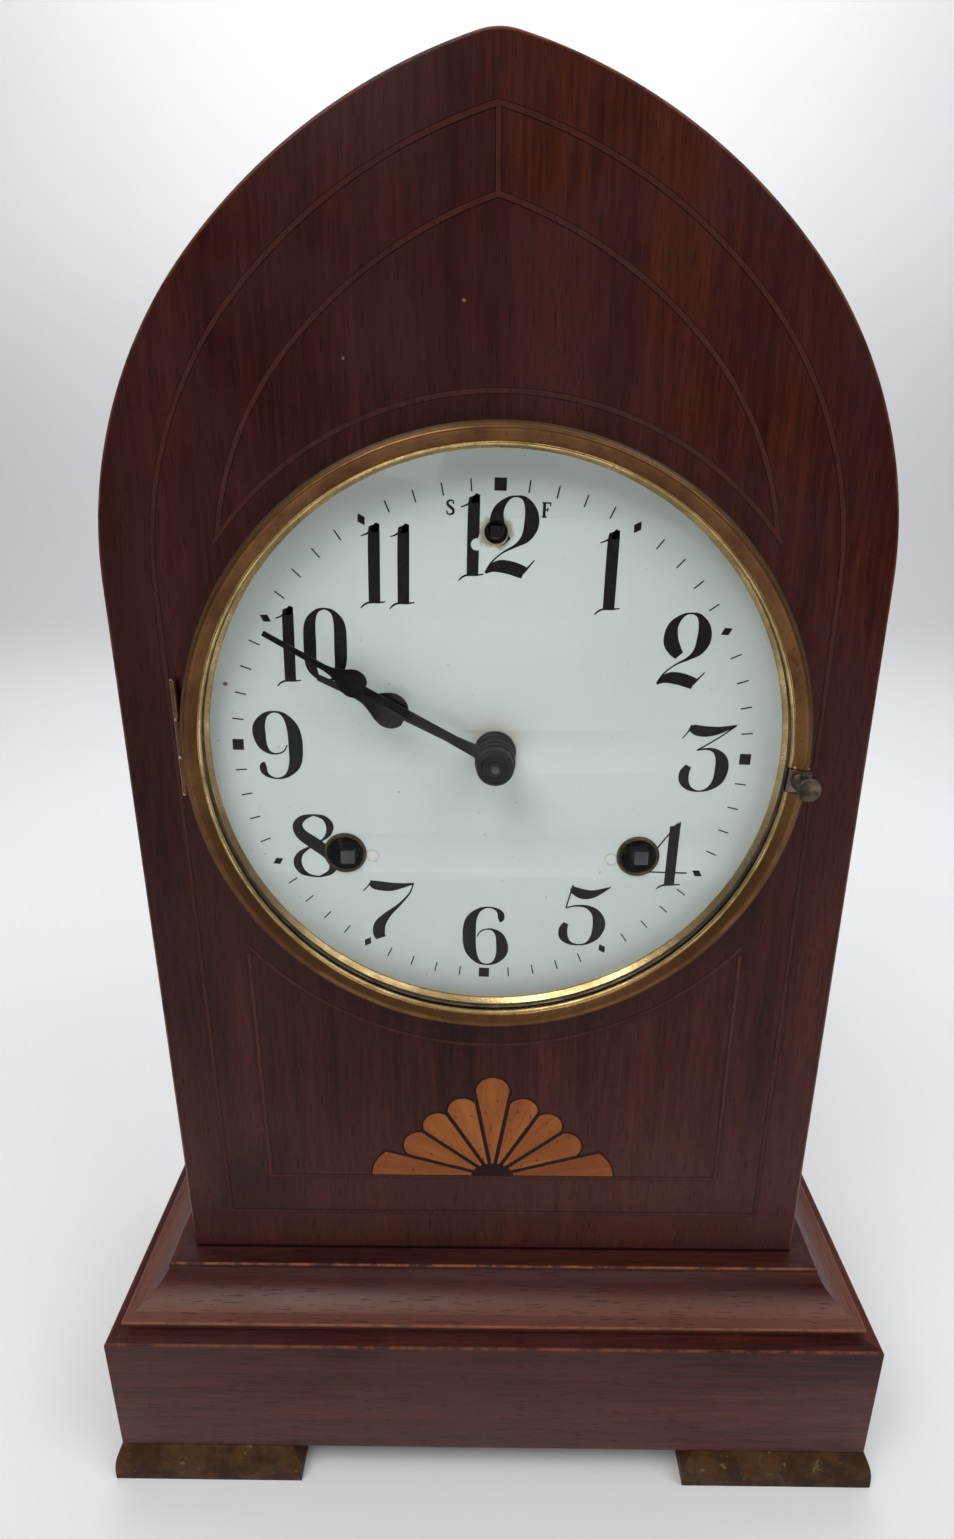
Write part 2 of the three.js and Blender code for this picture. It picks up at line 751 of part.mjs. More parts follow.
const knobPlateFront = bezelSeat - knobPlateDepth;
const knobHeadLength = knobHeadRadius;
const knobAxisRadius = (knobPlateInner + knobPlateOuter) / 2;
addDial('bezel_knob', atKnob(join(
  block(knobPlateInner, knobPlateOuter, knobPlateFront, bezelSeat, -knobPlateWidth / 2, knobPlateWidth / 2),
  turned([
    [0, -knobReach],
    [knobHeadRadius * 0.85, -knobReach],
    [knobHeadRadius, -knobReach + knobHeadLength * 0.25],
    [knobHeadRadius * 0.9, -knobReach + knobHeadLength * 0.6],
    [knobStemRadius * 0.8, -knobReach + knobHeadLength * 1.2],
    [knobStemRadius, knobPlateFront - fit],
    [knobStemRadius, knobPlateFront + knobStemRadius],
    [0, knobPlateFront + knobStemRadius],
  ], smallSteps, [knobAxisRadius, 0]),
)), agedBrass);

const hingeLow = bezelHingeRise - bezelHingeHeight / 2;
const hingeTop = hingeLow + bezelHingeHeight;
const bezelKnuckle = (low, high) => knuckle(bezelAxis, bezelBarrelRadius, bezelPinRadius, low, high);
const bezelPinGap = bezelPinRadius + fit;
const bezelTongue = (low, high) => block(
  bezelAxis[0] - bezelLeafThickness / 2, bezelAxis[0] + bezelLeafThickness / 2,
  bezelAxis[1] + bezelPinGap, bezelBackGap, low, high,
);
addDial('bezel_hinge_case_leaf', join(
  block(bezelAxis[0] - bezelLeafThickness / 2, bezelAxis[0] + bezelLeafThickness / 2,
    0, bezelLeafDepth, hingeLow, hingeTop),
  bezelKnuckle(hingeLow, hingeLow + bezelThird - fit),
  bezelTongue(hingeLow, hingeLow + bezelThird - fit),
  bezelKnuckle(hingeTop - bezelThird + fit, hingeTop),
  bezelTongue(hingeTop - bezelThird + fit, hingeTop),
), agedBrass);
addDial('bezel_hinge_tab', join(
  bezelKnuckle(tabLow, tabTop),
  block(bezelAxis[0] + bezelPinGap, tabInner, tabFront, tabBack, tabLow, tabTop),
), agedBrass);
addDial('bezel_hinge_pin', upright(
  bezelPinRadius, hingeLow - fit, hingeTop + fit, ...bezelAxis, arborSteps,
), steel);

// Wheels: pointed teeth on a crossed-out rim, lantern pinions of wire trundles between shrouds
function toothed(at, teeth, module, phase) {
  const pitch = (2 * Math.PI) / teeth;
  const middle = (teeth * module) / 2;
  const half = (toothRootShare * pitch) / 2;
  return Array.from({ length: teeth }, (_, i) => phase + i * pitch).flatMap((angle) => [
    polar(middle - toothDedendum * module, angle - half, at),
    polar(middle + toothAddendum * module, angle, at),
    polar(middle - toothDedendum * module, angle + half, at),
  ]);
}

function crossings(at, inner, outer) {
  const spoke = radians(spokeHalfAngle);
  const step = (2 * Math.PI) / spokeCount;
  return Array.from({ length: spokeCount }, (_, i) => [
    ...arc(at, outer, i * step + spoke, (i + 1) * step - spoke, 3),
    ...arc(at, inner, (i + 1) * step - 2 * spoke, i * step + 2 * spoke, 1),
  ]);
}

function wheel(at, teeth, module, phase, front, bore) {
  const inner = (teeth * module) / 2 - toothDedendum * module - wheelRim;
  const windows = inner > 2 * wheelHub ? crossings(at, wheelHub, inner) : [];
  const bores = bore > 0 ? [circle(bore, smallSteps, at)] : [];
  return plate(toothed(at, teeth, module, phase), front, wheelThickness, [...windows, ...bores]);
}

function pinion(at, teeth, module, phase, front, back, bore) {
  const bores = bore > 0 ? [circle(bore, smallSteps, at)] : [];
  return plate(toothed(at, teeth, module, phase), front, back - front, bores);
}

function lantern(at, trundles, module, phase, wheelFront) {
  const middle = (trundles * module) / 2;
  const trundle = trundleShare * module;
  const front = wheelFront - shroudGap - shroudThickness;
  const back = wheelFront + wheelThickness + shroudGap + shroudThickness;
  const shroud = middle + trundle + shroudLip;
  const wires = Array.from({ length: trundles }, (_, i) => rod(
    trundle, front + shroudThickness / 2, back - shroudThickness / 2,
    polar(middle, phase + (i * 2 * Math.PI) / trundles, at), 5,
  ));
  return join(
    rod(shroud, front, front + shroudThickness, at, 8),
    rod(shroud, back - shroudThickness, back, at, 8),
    ...wires,
  );
}

// Phase of a gear that meshes with one already placed
function inMesh(driver, driverTeeth, driverPhase, driven, drivenTeeth) {
  const angle = Math.atan2(driven[1] - driver[1], driven[0] - driver[0]);
  return angle + Math.PI - ((driverPhase - angle) * driverTeeth) / drivenTeeth + Math.PI / drivenTeeth;
}

const reach = (teethA, teethB, module) => ((teethA + teethB) * module) / 2;

// Point at given distances from two others, to the left of the way from the first to the second
function meeting(first, second, fromFirst, fromSecond) {
  const across = [second[0] - first[0], second[1] - first[1]];
  const span = Math.hypot(...across);
  const along = (fromFirst ** 2 - fromSecond ** 2 + span ** 2) / (2 * span);
  const aside = Math.sqrt(fromFirst ** 2 - along ** 2);
  return [
    first[0] + (along * across[0] - aside * across[1]) / span,
    first[1] + (along * across[1] + aside * across[0]) / span,
  ];
}

function pivoted(at, radius, back = backPlateBack) {
  return turned([
    [0, frontPlateFront], [pivotRadius, frontPlateFront], [pivotRadius, frontPlateBack + fit],
    [radius, frontPlateBack + fit], [radius, backPlateFront - fit],
    [pivotRadius, backPlateFront - fit], [pivotRadius, back], [0, back],
  ], arborSteps, at);
}

const centreAt = [0, 0];
const greatReach = reach(greatTeeth, secondTrundles, greatModule);
const timeSecondAt = meeting(
  centreAt, windings.time, reach(secondTeeth, centrePinionTeeth, secondModule), greatReach,
);
const thirdAt = meeting(
  centreAt, escapeAt, reach(centreTeeth, thirdTrundles, centreModule),
  reach(thirdTeeth, escapeTrundles, thirdModule),
);
const strikeSecondAt = polar(greatReach, radians(strikeSecondAngle), windings.strike);
const strikeThirdAt = polar(
  reach(strikeSecondTeeth, strikeTrundles, strikeModule), radians(strikeThirdAngle), strikeSecondAt,
);
const flyAt = polar(
  reach(strikeThirdTeeth, strikeTrundles, strikeModule), radians(flyAngle), strikeThirdAt,
);
const minuteWheelAt = polar(
  reach(cannonTeeth, minuteWheelTeeth, cannonModule), radians(minuteWheelAngle),
);

// Wheel levels between the plates, from the front plate backwards
const greatFront = frontPlateBack + greatStandoff;
const ratchetFront = greatFront + wheelThickness + 2 * fit;
const ratchetBack = ratchetFront + wheelThickness;
const springFront = ratchetBack + springStandoff;
const thirdFront = greatFront + wheelThickness + thirdStandoff;
const strikeThirdFront = thirdFront + wheelThickness + strikeThirdStandoff;
const secondFront = springFront + springWidth + secondStandoff;
const centreFront = secondFront + wheelThickness + centreStandoff;
const strikeSecondFront = centreFront + wheelThickness + strikeSecondStandoff;
const flyFront = strikeThirdFront + wheelThickness + flyStandoff;

// Plates: the pillars are riveted into the back one
const pillars = [[-1, 1], [1, 1], [-1, -1], [1, -1]].map(([side, end]) => [
  side * (plateHalfWidth - pillarInset), end > 0 ? plateTop - pillarInset : pillarInset - plateBottom,
]);
const plateOutline = roundedBox(-plateHalfWidth, plateHalfWidth, -plateBottom, plateTop, plateCorner);
const pivotHoles = [timeSecondAt, thirdAt, escapeAt, strikeSecondAt, strikeThirdAt, flyAt, hammerAt]
  .map((at) => circle(pivotRadius + pivotClearance, arborSteps, at));
const arborHoles = [
  circle(windingArborRadius + fit, smallSteps, windings.time),
  circle(windingArborRadius + fit, smallSteps, windings.strike),
  circle(centreArborRadius + fit, smallSteps, centreAt),
  circle(regulatorRadius + fit, smallSteps, regulatorAt),
];
const sideWindowTop = plateTop - sideWindowDrop;
const plateWindows = [
  roundedBox(
    -lowWindowHalfWidth, lowWindowHalfWidth, lowWindowRise - plateBottom, -lowWindowDrop, windowRadius,
  ),
  roundedBox(
    rightWindowInner, rightWindowInner + rightWindowWidth, sideWindowLow, sideWindowTop, windowRadius,
  ),
  roundedBox(
    -leftWindowInner - leftWindowWidth, -leftWindowInner, sideWindowLow, sideWindowTop, windowRadius,
  ),
];
const plateHoles = [...pivotHoles, ...arborHoles, ...plateWindows];
addDial('movement_front_plate', join(
  plate(plateOutline, frontPlateFront, plateThickness, plateHoles),
  rod(minuteStudRadius, dialBack + minuteStudStandoff, frontPlateFront + plateThickness / 2, minuteWheelAt),
), plateBrass);
const vergeStudBack = backPlateBack + vergeStudLength;
const sliderFront = vergeStudBack;
const sliderBack = sliderFront + sliderThickness;
addDial('movement_back_plate', join(
  plate(plateOutline, backPlateFront, plateThickness, plateHoles),
  ...pillars.map((at) => rod(pillarRadius, frontPlateBack, backPlateFront + plateThickness / 2, at)),
  rod(guideRadius, backPlateFront + plateThickness / 2, vergeStudBack - fit, vergeAt),
  ...guideRises.map((rise) => rod(
    guideRadius, backPlateFront + plateThickness / 2, sliderBack + guideHead, [guideOffset, rise],
  )),
), plateBrass);

// Hands: the blade leans back towards the dial, and the hub is as long as its collet
function spadeHand(length, spadeStart, spadeHalfWidth, bore, angle, front, tilt, hubLength) {
  const half = [
    [handBarHalfWidth, handHubRadius * 0.95],
    [handBarHalfWidth, spadeStart],
    [spadeHalfWidth * 0.6, spadeStart + 0.1 * spadeHalfWidth],
    [spadeHalfWidth * 0.92, spadeStart + 0.45 * spadeHalfWidth],
    [spadeHalfWidth, spadeStart + spadeHalfWidth],
    [spadeHalfWidth * 0.82, spadeStart + 1.6 * spadeHalfWidth],
    [spadeHalfWidth * 0.45, spadeStart + 2.4 * spadeHalfWidth],
    [handTipHalfWidth * 1.3, spadeStart + 3.4 * spadeHalfWidth],
    [handTipHalfWidth, length],
  ];
  const blade = plate([...half, ...mirrored(half).reverse()], 0, handThickness).rotate([-tilt, 0, 0]);
  const hub = plate(circle(handHubRadius, smallSteps * 2), front, hubLength, [circle(bore, smallSteps)]);
  return join(hub, blade.translate([0, front, 0])).rotate([0, angle, 0]);
}

const hourHandFront = dialSetback - hourHandStandoff;
const minuteHandFront = hourHandFront - handSpacing;
const hourAngle = (shownHour * 360) / 12;
const minuteAngle = (shownMinute * 360) / 60;
const colletLength = hourHandStandoff - colletGap;
addDial('hour_hand', spadeHand(
  hourHandLength, hourSpadeStart, hourSpadeHalfWidth, hourPipeOuter + fit, hourAngle, hourHandFront,
  hourHandTilt, colletLength,
), blackSteel);
addDial('minute_hand', spadeHand(
  minuteHandLength, minuteSpadeStart, minuteSpadeHalfWidth, centreTipRadius + fit, minuteAngle,
  minuteHandFront, minuteHandTilt, handThickness,
), blackSteel);
const nutBack = minuteHandFront - fit;
const nutFront = nutBack - nutLength;
addDial('hand_nut', turned([
  [centreTipRadius + fit, nutBack],
  [nutRadius, nutBack],
  [nutRadius, nutBack - nutLength * 0.55],
  [nutRadius * 0.85, nutBack - nutLength * 0.7],
  [nutRadius * 0.6, nutFront],
  [centreTipRadius + fit, nutFront],
  [centreTipRadius + fit, nutBack],
], smallSteps * 2), blackSteel);

// Motion work behind the dial; both pairs share one distance between axes
const hourModule = (cannonModule * (cannonTeeth + minuteWheelTeeth)) / (minutePinionTeeth + hourWheelTeeth);
const hourWheelFront = dialBack + hourStandoff;
const minuteWheelFront = hourWheelFront + wheelThickness + minuteStandoff;
const cannonPhase = 0;
const minuteWheelPhase = inMesh(centreAt, cannonTeeth, cannonPhase, minuteWheelAt, minuteWheelTeeth);
const hourWheelPhase = inMesh(minuteWheelAt, minutePinionTeeth, 0, centreAt, hourWheelTeeth);
const pipeFront = hourHandFront - fit;
addDial('hour_wheel', join(
  wheel(centreAt, hourWheelTeeth, hourModule, hourWheelPhase, hourWheelFront,
    (hourPipeInner + hourPipeOuter) / 2),
  ring(hourPipeInner, hourPipeOuter, pipeFront, hourWheelFront + wheelThickness, smallSteps),
), plateBrass);
addDial('minute_wheel', join(
  wheel(minuteWheelAt, minuteWheelTeeth, cannonModule, minuteWheelPhase, minuteWheelFront,
    minuteStudRadius + fit),
  pinion(minuteWheelAt, minutePinionTeeth, hourModule, 0, hourWheelFront - 2 * fit,
    minuteWheelFront + fit, minuteStudRadius + fit),
), plateBrass);

// Centre arbor with cannon pinion, driven pinion and centre wheel
const timeGreatPhase = 0;
const secondLanternPhase = inMesh(
  windings.time, greatTeeth, timeGreatPhase, timeSecondAt, secondTrundles,
);
const secondPhase = 0;
const centrePinionPhase = inMesh(timeSecondAt, secondTeeth, secondPhase, centreAt, centrePinionTeeth);
const centrePhase = 0;
const thirdLanternPhase = inMesh(centreAt, centreTeeth, centrePhase, thirdAt, thirdTrundles);
const thirdPhase = 0;
const escapeLanternPhase = inMesh(thirdAt, thirdTeeth, thirdPhase, escapeAt, escapeTrundles);
const arborTip = nutFront - fit;
addDial('centre_arbor', join(
  turned([
    [0, arborTip], [centreTipRadius, arborTip], [centreTipRadius, minuteHandFront + handThickness + fit],
    [centreArborRadius, minuteHandFront + handThickness + fit], [centreArborRadius, backPlateBack],
    [0, backPlateBack],
  ], smallSteps),
  pinion(centreAt, cannonTeeth, cannonModule, cannonPhase, minuteWheelFront - 2 * fit,
    minuteWheelFront + wheelThickness + 2 * fit, 0),
  pinion(centreAt, centrePinionTeeth, secondModule, centrePinionPhase, secondFront - 2 * fit,
    secondFront + wheelThickness + 2 * fit, 0),
  wheel(centreAt, centreTeeth, centreModule, centrePhase, centreFront, 0),
), plateBrass);

// Going train
addDial('time_second_wheel', join(
  pivoted(timeSecondAt, arborRadius),
  wheel(timeSecondAt, secondTeeth, secondModule, secondPhase, secondFront, 0),
  lantern(timeSecondAt, secondTrundles, greatModule, secondLanternPhase, greatFront),
), plateBrass);
addDial('time_third_wheel', join(
  pivoted(thirdAt, arborRadius),
  wheel(thirdAt, thirdTeeth, thirdModule, thirdPhase, thirdFront, 0),
  lantern(thirdAt, thirdTrundles, centreModule, thirdLanternPhase, centreFront),
), plateBrass);
const escapeFront = backPlateBack + escapeStandoff;
const escapeBack = escapeFront + wheelThickness - fit;
const escapePitch = (2 * Math.PI) / escapeTeeth;
const escapeOutline = Array.from({ length: escapeTeeth }, (_, i) => i * escapePitch).flatMap((angle) => [
  polar(escapeRadius, angle, escapeAt),
  polar(escapeRadius - escapeToothDepth, angle + 0.2 * escapePitch, escapeAt),
]);
addDial('escape_wheel', join(
  pivoted(escapeAt, arborRadius, escapeBack + pivotEnd),
  plate(escapeOutline, escapeFront, escapeBack - escapeFront,
    crossings(escapeAt, wheelHub * 0.7, escapeRadius - 2 * escapeToothDepth)),
  lantern(escapeAt, escapeTrundles, thirdModule, escapeLanternPhase, thirdFront),
), plateBrass);

// Strike train
const strikeGreatPhase = 0;
const strikeSecondLanternPhase = inMesh(
  windings.strike, greatTeeth, strikeGreatPhase, strikeSecondAt, secondTrundles,
);
const strikeThirdLanternPhase = inMesh(
  strikeSecondAt, strikeSecondTeeth, 0, strikeThirdAt, strikeTrundles,
);
const flyLanternPhase = inMesh(strikeThirdAt, strikeThirdTeeth, 0, flyAt, strikeTrundles);
addDial('strike_second_wheel', join(
  pivoted(strikeSecondAt, arborRadius),
  wheel(strikeSecondAt, strikeSecondTeeth, strikeModule, 0, strikeSecondFront, 0),
  lantern(strikeSecondAt, secondTrundles, greatModule, strikeSecondLanternPhase, greatFront),
), plateBrass);
addDial('strike_third_wheel', join(
  pivoted(strikeThirdAt, arborRadius),
  wheel(strikeThirdAt, strikeThirdTeeth, strikeModule, 0, strikeThirdFront, 0),
  lantern(strikeThirdAt, strikeTrundles, strikeModule, strikeThirdLanternPhase, strikeSecondFront),
), plateBrass);
addDial('strike_fly', join(
  pivoted(flyAt, arborRadius),
  block(flyAt[0] - flyHalfWidth, flyAt[0] + flyHalfWidth, flyFront, flyFront + flyLength,
    flyAt[1] - flyThickness / 2, flyAt[1] + flyThickness / 2),
  lantern(flyAt, strikeTrundles, strikeModule, flyLanternPhase, strikeThirdFront),
), plateBrass);

// Great wheels, winding arbors and mainsprings, one of each for either train
function saw(at, teeth, radius, depth) {
  const pitch = (2 * Math.PI) / teeth;
  return Array.from({ length: teeth }, (_, i) => i * pitch).flatMap((angle) => [
    polar(radius, angle, at),
    polar(radius - depth, angle + 0.12 * pitch, at),
  ]);
}

function leastSelfGap(points, width, skip) {
  let least = Infinity;
  points.forEach(([x, z], i) => {
    for (let j = i + skip; j < points.length; j += 1) {
      least = Math.min(least, Math.hypot(points[j][0] - x, points[j][1] - z));
    }
  });
  return least - width;
}

function mainspring(pillar) {
  const [axis, loop] = [windings.time, springLoopClearance + pillarRadius + springThickness / 2];
  const bearing = Math.atan2(pillar[1] - axis[1], pillar[0] - axis[0]);
  const span = Math.hypot(pillar[0] - axis[0], pillar[1] - axis[1]);
  const leave = bearing - Math.acos((springOuter - loop) / span);
  const steps = springTurns * springStepsPerTurn;
  const coil = Array.from({ length: steps + 1 }, (_, i) => polar(
    springInner + springThickness / 2 + ((springOuter - springInner - springThickness / 2) * i) / steps,
    leave - ((steps - i) * 2 * Math.PI) / springStepsPerTurn, axis,
  ));
  return [...coil, ...arc(pillar, loop, leave, leave + 1.5 * Math.PI, 9)];
}

// Offsets a line of points to one side
function beside(points, offset) {
  return points.map(([x, z], i) => {
    const before = points[Math.max(i - 1, 0)];
    const after = points[Math.min(i + 1, points.length - 1)];
    const along = [after[0] - before[0], after[1] - before[1]];
    const length = Math.hypot(...along);
    return [x - (offset * along[1]) / length, z + (offset * along[0]) / length];
  });
}

const springLine = mainspring(pillars[3]);
const springGap = leastSelfGap(springLine, springThickness, springStepsPerTurn / 2);
console.log(`mainspring: least gap between turns ${springGap.toFixed(2)} mm`);
const springStrip = [
  ...beside(springLine, springThickness / 2), ...beside(springLine, -springThickness / 2).reverse(),
];
const clickInner = ratchetRadius + 2 * fit;
for (const [name, at] of Object.entries(windings)) {
  const side = Math.sign(at[0]);
  const clickOutline = roundedBox(
    at[0] - clickLength / 2, at[0] + clickLength / 2,
    at[1] + clickInner, at[1] + clickInner + clickWidth, clickCorner,
  );
  addDial(`${name}_great_wheel`, join(
    wheel(at, greatTeeth, greatModule, 0, greatFront, windingArborRadius + fit),
    plate(clickOutline, greatFront + wheelThickness / 2, wheelThickness * 1.5 + 2 * fit),
  ), plateBrass);
  const squareFront = dialBack + windingSquareSetback;
  const halfSquare = windingSquare / 2;
  addDial(`${name}_winding_arbor`, join(
    block(at[0] - halfSquare, at[0] + halfSquare, squareFront, frontPlateFront,
      at[1] - halfSquare, at[1] + halfSquare),
    rod(windingArborRadius, frontPlateFront - squareRoot, backPlateBack, at, smallSteps),
    plate(saw(at, ratchetTeeth, ratchetRadius, ratchetToothDepth), ratchetFront, wheelThickness),
  ), steel);
  const strip = side > 0 ? springStrip : mirrored(springStrip);
  addDial(`${name}_mainspring`, plate(strip, springFront, springWidth), steel);
}

// Verge: a bent strip over the escape wheel on a stud, with a crutch down to the pendulum rod
const crutchFront = backPlateBack + crutchStandoff;
const crutchBack = crutchFront + crutchThickness;
const rodDepth = sliderBack + rodStandoff;
const vergeBearing = Math.atan2(vergeAt[1] - escapeAt[1], vergeAt[0] - escapeAt[0]);
const vergeDistance = Math.hypot(vergeAt[0] - escapeAt[0], vergeAt[1] - escapeAt[1]);
const vergeFrom = vergeBearing - radians(vergeSpan);
const vergeTo = vergeBearing + radians(vergeSpan);
const stripInner = vergeDistance - vergeStrip / 2;
const palletInner = escapeRadius + palletClearance;
const palletTurn = radians(palletWidth);
const vergeOutline = [
  ...arc(escapeAt, stripInner + vergeStrip, vergeFrom, vergeTo, 8),
  polar(palletInner, vergeTo, escapeAt),
  polar(palletInner, vergeTo - palletTurn, escapeAt),
  ...arc(escapeAt, stripInner, vergeTo - palletTurn, vergeFrom + palletTurn, 6),
  polar(palletInner, vergeFrom + palletTurn, escapeAt),
  polar(palletInner, vergeFrom, escapeAt),
];
const loopHalf = rodRadius + crutchPlay;
const crutchLow = vergeAt[1] - crutchReach;
const loopFront = rodDepth - loopHalf;
const loopBack = rodDepth + loopHalf;
const vergeBody = join(
  plate(vergeOutline, escapeFront, escapeBack - escapeFront),
  rod(vergeHub, escapeFront, crutchBack, vergeAt, smallSteps),
  block(-loopWall, loopWall, crutchFront, crutchBack, crutchLow, vergeAt[1]),
  block(-loopHalf - loopWall, loopHalf + loopWall, crutchFront, loopBack + loopWall,
    crutchLow - loopWall, crutchLow + loopWall),
);
addDial('verge_and_crutch', cut(
  vergeBody,
  rod(guideRadius + fit, escapeFront - pocketMargin, crutchBack + pocketMargin, vergeAt, smallSteps),
  block(-loopHalf, loopHalf, loopFront, loopBack, crutchLow - 2 * loopWall, crutchLow + 2 * loopWall),
), steel);

// Regulator: a key-turned arbor whose pinion lifts the suspension slider by its rack
const rackPitch = Math.PI * rackModule;
const rackPinionRadius = (rackPinionTeeth * rackModule) / 2;
const halfRegulatorSquare = regulatorSquare / 2;
addDial('regulator_arbor', join(
  block(-halfRegulatorSquare, halfRegulatorSquare, dialBack, frontPlateFront,
    regulatorRise - halfRegulatorSquare, regulatorRise + halfRegulatorSquare),
  rod(regulatorRadius, frontPlateFront - squareRoot, sliderFront, regulatorAt, smallSteps),
  pinion(regulatorAt, rackPinionTeeth, rackModule, 0, sliderFront - fit, sliderBack + fit, 0),
), steel);

const rackRoot = rackPinionRadius + toothDedendum * rackModule;
const rackTip = rackPinionRadius - toothAddendum * rackModule;
const rackTeeth = [-2, -1, 0, 1].flatMap((i) => {
  const middle = regulatorRise + (i + 0.5) * rackPitch;
  const half = (toothRootShare * rackPitch) / 2;
  return [[rackRoot, middle + half], [rackTip, middle], [rackRoot, middle - half]].reverse();
});
const sliderRight = rackRoot + sliderWidth;
const sliderTop = guideRises[1] + guideRadius + sliderTravel + sliderTopMargin;
const fingerLow = suspensionRise - fingerDepth;
const fingerTop = suspensionRise + fingerRise;
const sliderOutline = [
  [-suspensionPinRadius * 1.6, fingerLow], [sliderRight, fingerLow], [sliderRight, sliderTop],
  [rackRoot, sliderTop], ...rackTeeth.reverse(), [rackRoot, fingerTop],
  [-suspensionPinRadius * 1.6, fingerTop],
];
const guideSlots = guideRises.map((rise) => roundedBox(
  guideOffset - guideRadius - fit, guideOffset + guideRadius + fit,
  rise - guideRadius - sliderTravel - fit, rise + guideRadius + sliderTravel + fit, guideRadius,
));
const suspensionAt = [0, suspensionRise];
const pinBack = rodDepth + rodRadius + 2 * fit;
addDial('suspension_slider', join(
  plate(sliderOutline, sliderFront, sliderThickness, guideSlots),
  rod(suspensionPinRadius, sliderBack - sliderThickness / 2, pinBack, suspensionAt),
  rod(2 * suspensionPinRadius, pinBack, pinBack + suspensionPinRadius, suspensionAt),
), plateBrass);

// Pendulum
const eyeInner = suspensionPinRadius + fit;
const eyeOuter = eyeInner + 2 * rodRadius;
const bobAt = [0, suspensionRise - pendulumLength];
const rodLow = bobAt[1] - bobRadius - rodTail;
const rodTop = suspensionRise - eyeInner - rodRadius;
const ratingNutLow = rodLow + rodTailEnd;
addDial('pendulum_rod', join(
  ring(eyeInner, eyeOuter, rodDepth - rodRadius, rodDepth + rodRadius, smallSteps, suspensionAt),
  upright(rodRadius, rodLow, rodTop, 0, rodDepth, arborSteps),
  upright(ratingNutRadius, ratingNutLow, ratingNutLow + ratingNutHeight, 0, rodDepth, smallSteps),
), steel);
const bobHalf = bobThickness / 2;
const bobLens = turned([
  [0, rodDepth - bobHalf],
  [bobRadius * 0.6, rodDepth - bobHalf * 0.75],
  [bobRadius, rodDepth - bobHalf * 0.12],
  [bobRadius, rodDepth + bobHalf * 0.12],
  [bobRadius * 0.6, rodDepth + bobHalf * 0.75],
  [0, rodDepth + bobHalf],
], smallSteps * 2, bobAt);
const bobSleeveLow = ratingNutLow + ratingNutHeight;
addDial('pendulum_bob', cut(
  join(bobLens, upright(bobSleeveRadius, bobSleeveLow, bobAt[1], 0, rodDepth, smallSteps)),
  upright(rodRadius + fit, rodLow, bobAt[1] + bobRadius + 1, 0, rodDepth, arborSteps),
), plateBrass);

// Coiled wire gong on an iron stand
const gongFootBack = backInside - gongStandGap;
const gongPostFront = gongFootBack - gongPostDepth;
const gongDepth = gongPostFront - gongWire - gongPostGap;
const floorDrop = shelfTop - dialHeight;
const gongAt = [0, floorDrop + gongFootHeight + gongClearance + gongOuter];

function gongLine() {
  const start = gongBossRadius + fit;
  const coilSteps = gongTurns * gongStepsPerTurn;
  const leadSteps = 8;
  const leadTurn = (2 * Math.PI) / gongStepsPerTurn;
  const leadAngles = Array.from({ length: leadSteps }, (_, i) => (i * leadTurn) / leadSteps);
  const coilAngles = Array.from({ length: coilSteps }, (_, i) => ((i + 1) * 2 * Math.PI) / gongStepsPerTurn);
  const rise = (gongOuter - gongWire / 2 - gongInner) / (2 * Math.PI * gongTurns);
  const bend = leadTurn / 2;
  const lead = gongInner - start - gongWire;
  const line = [...leadAngles, ...coilAngles].map((angle) => polar(
    start + gongWire + lead * (1 - Math.exp(-angle / bend)) + rise * angle, angle, gongAt,
  ));
  return [polar(start, 0, gongAt), ...line];
}

// A round wire along a line of points that lies in one upright plane
function wire(line, radius, depth, sides) {
  const ringAt = (angle) => beside(line, radius * Math.cos(angle)).map(([x, z]) => [
    x, depth + radius * Math.sin(angle), z,
  ]);
  const rows = Array.from({ length: sides }, (_, i) => ringAt((i * 2 * Math.PI) / sides));
  const positions = line.flatMap((_, i) => rows.map((row) => row[i])).flat();
  const triangles = [];
  const last = (line.length - 1) * sides;
  for (let i = 0; i < line.length - 1; i += 1) {
    for (let j = 0; j < sides; j += 1) {
      const [a, b] = [i * sides + j, i * sides + ((j + 1) % sides)];
      triangles.push(a, b, b + sides, a, b + sides, a + sides);
    }
  }
  for (let j = 1; j < sides - 1; j += 1) {
    triangles.push(0, j + 1, j, last, last + j, last + j + 1);
  }
  const geometry = new THREE.BufferGeometry();
  geometry.setAttribute('position', new THREE.Float32BufferAttribute(positions, 3));
  geometry.setIndex(triangles);
  return toSolid(geometry);
}

const gongPoints = gongLine();
const gongGap = leastSelfGap(gongPoints, gongWire, gongStepsPerTurn / 2);
console.log(`gong: least gap between turns ${gongGap.toFixed(2)} mm`);
addDial('gong', wire(gongPoints, gongWire / 2, gongDepth, 6), steel);
addDial('gong_stand', join(
  block(-gongFootWidth / 2, gongFootWidth / 2, gongFootBack - gongFootDepth, gongFootBack,
    floorDrop, floorDrop + gongFootHeight),
  block(-gongPostWidth / 2, gongPostWidth / 2, gongPostFront, gongPostFront + gongPostDepth,
    floorDrop + gongFootHeight / 2, gongAt[1]),
  rod(gongBossRadius, gongDepth - gongWire, gongPostFront + gongPostDepth, gongAt, smallSteps),
), castIron);

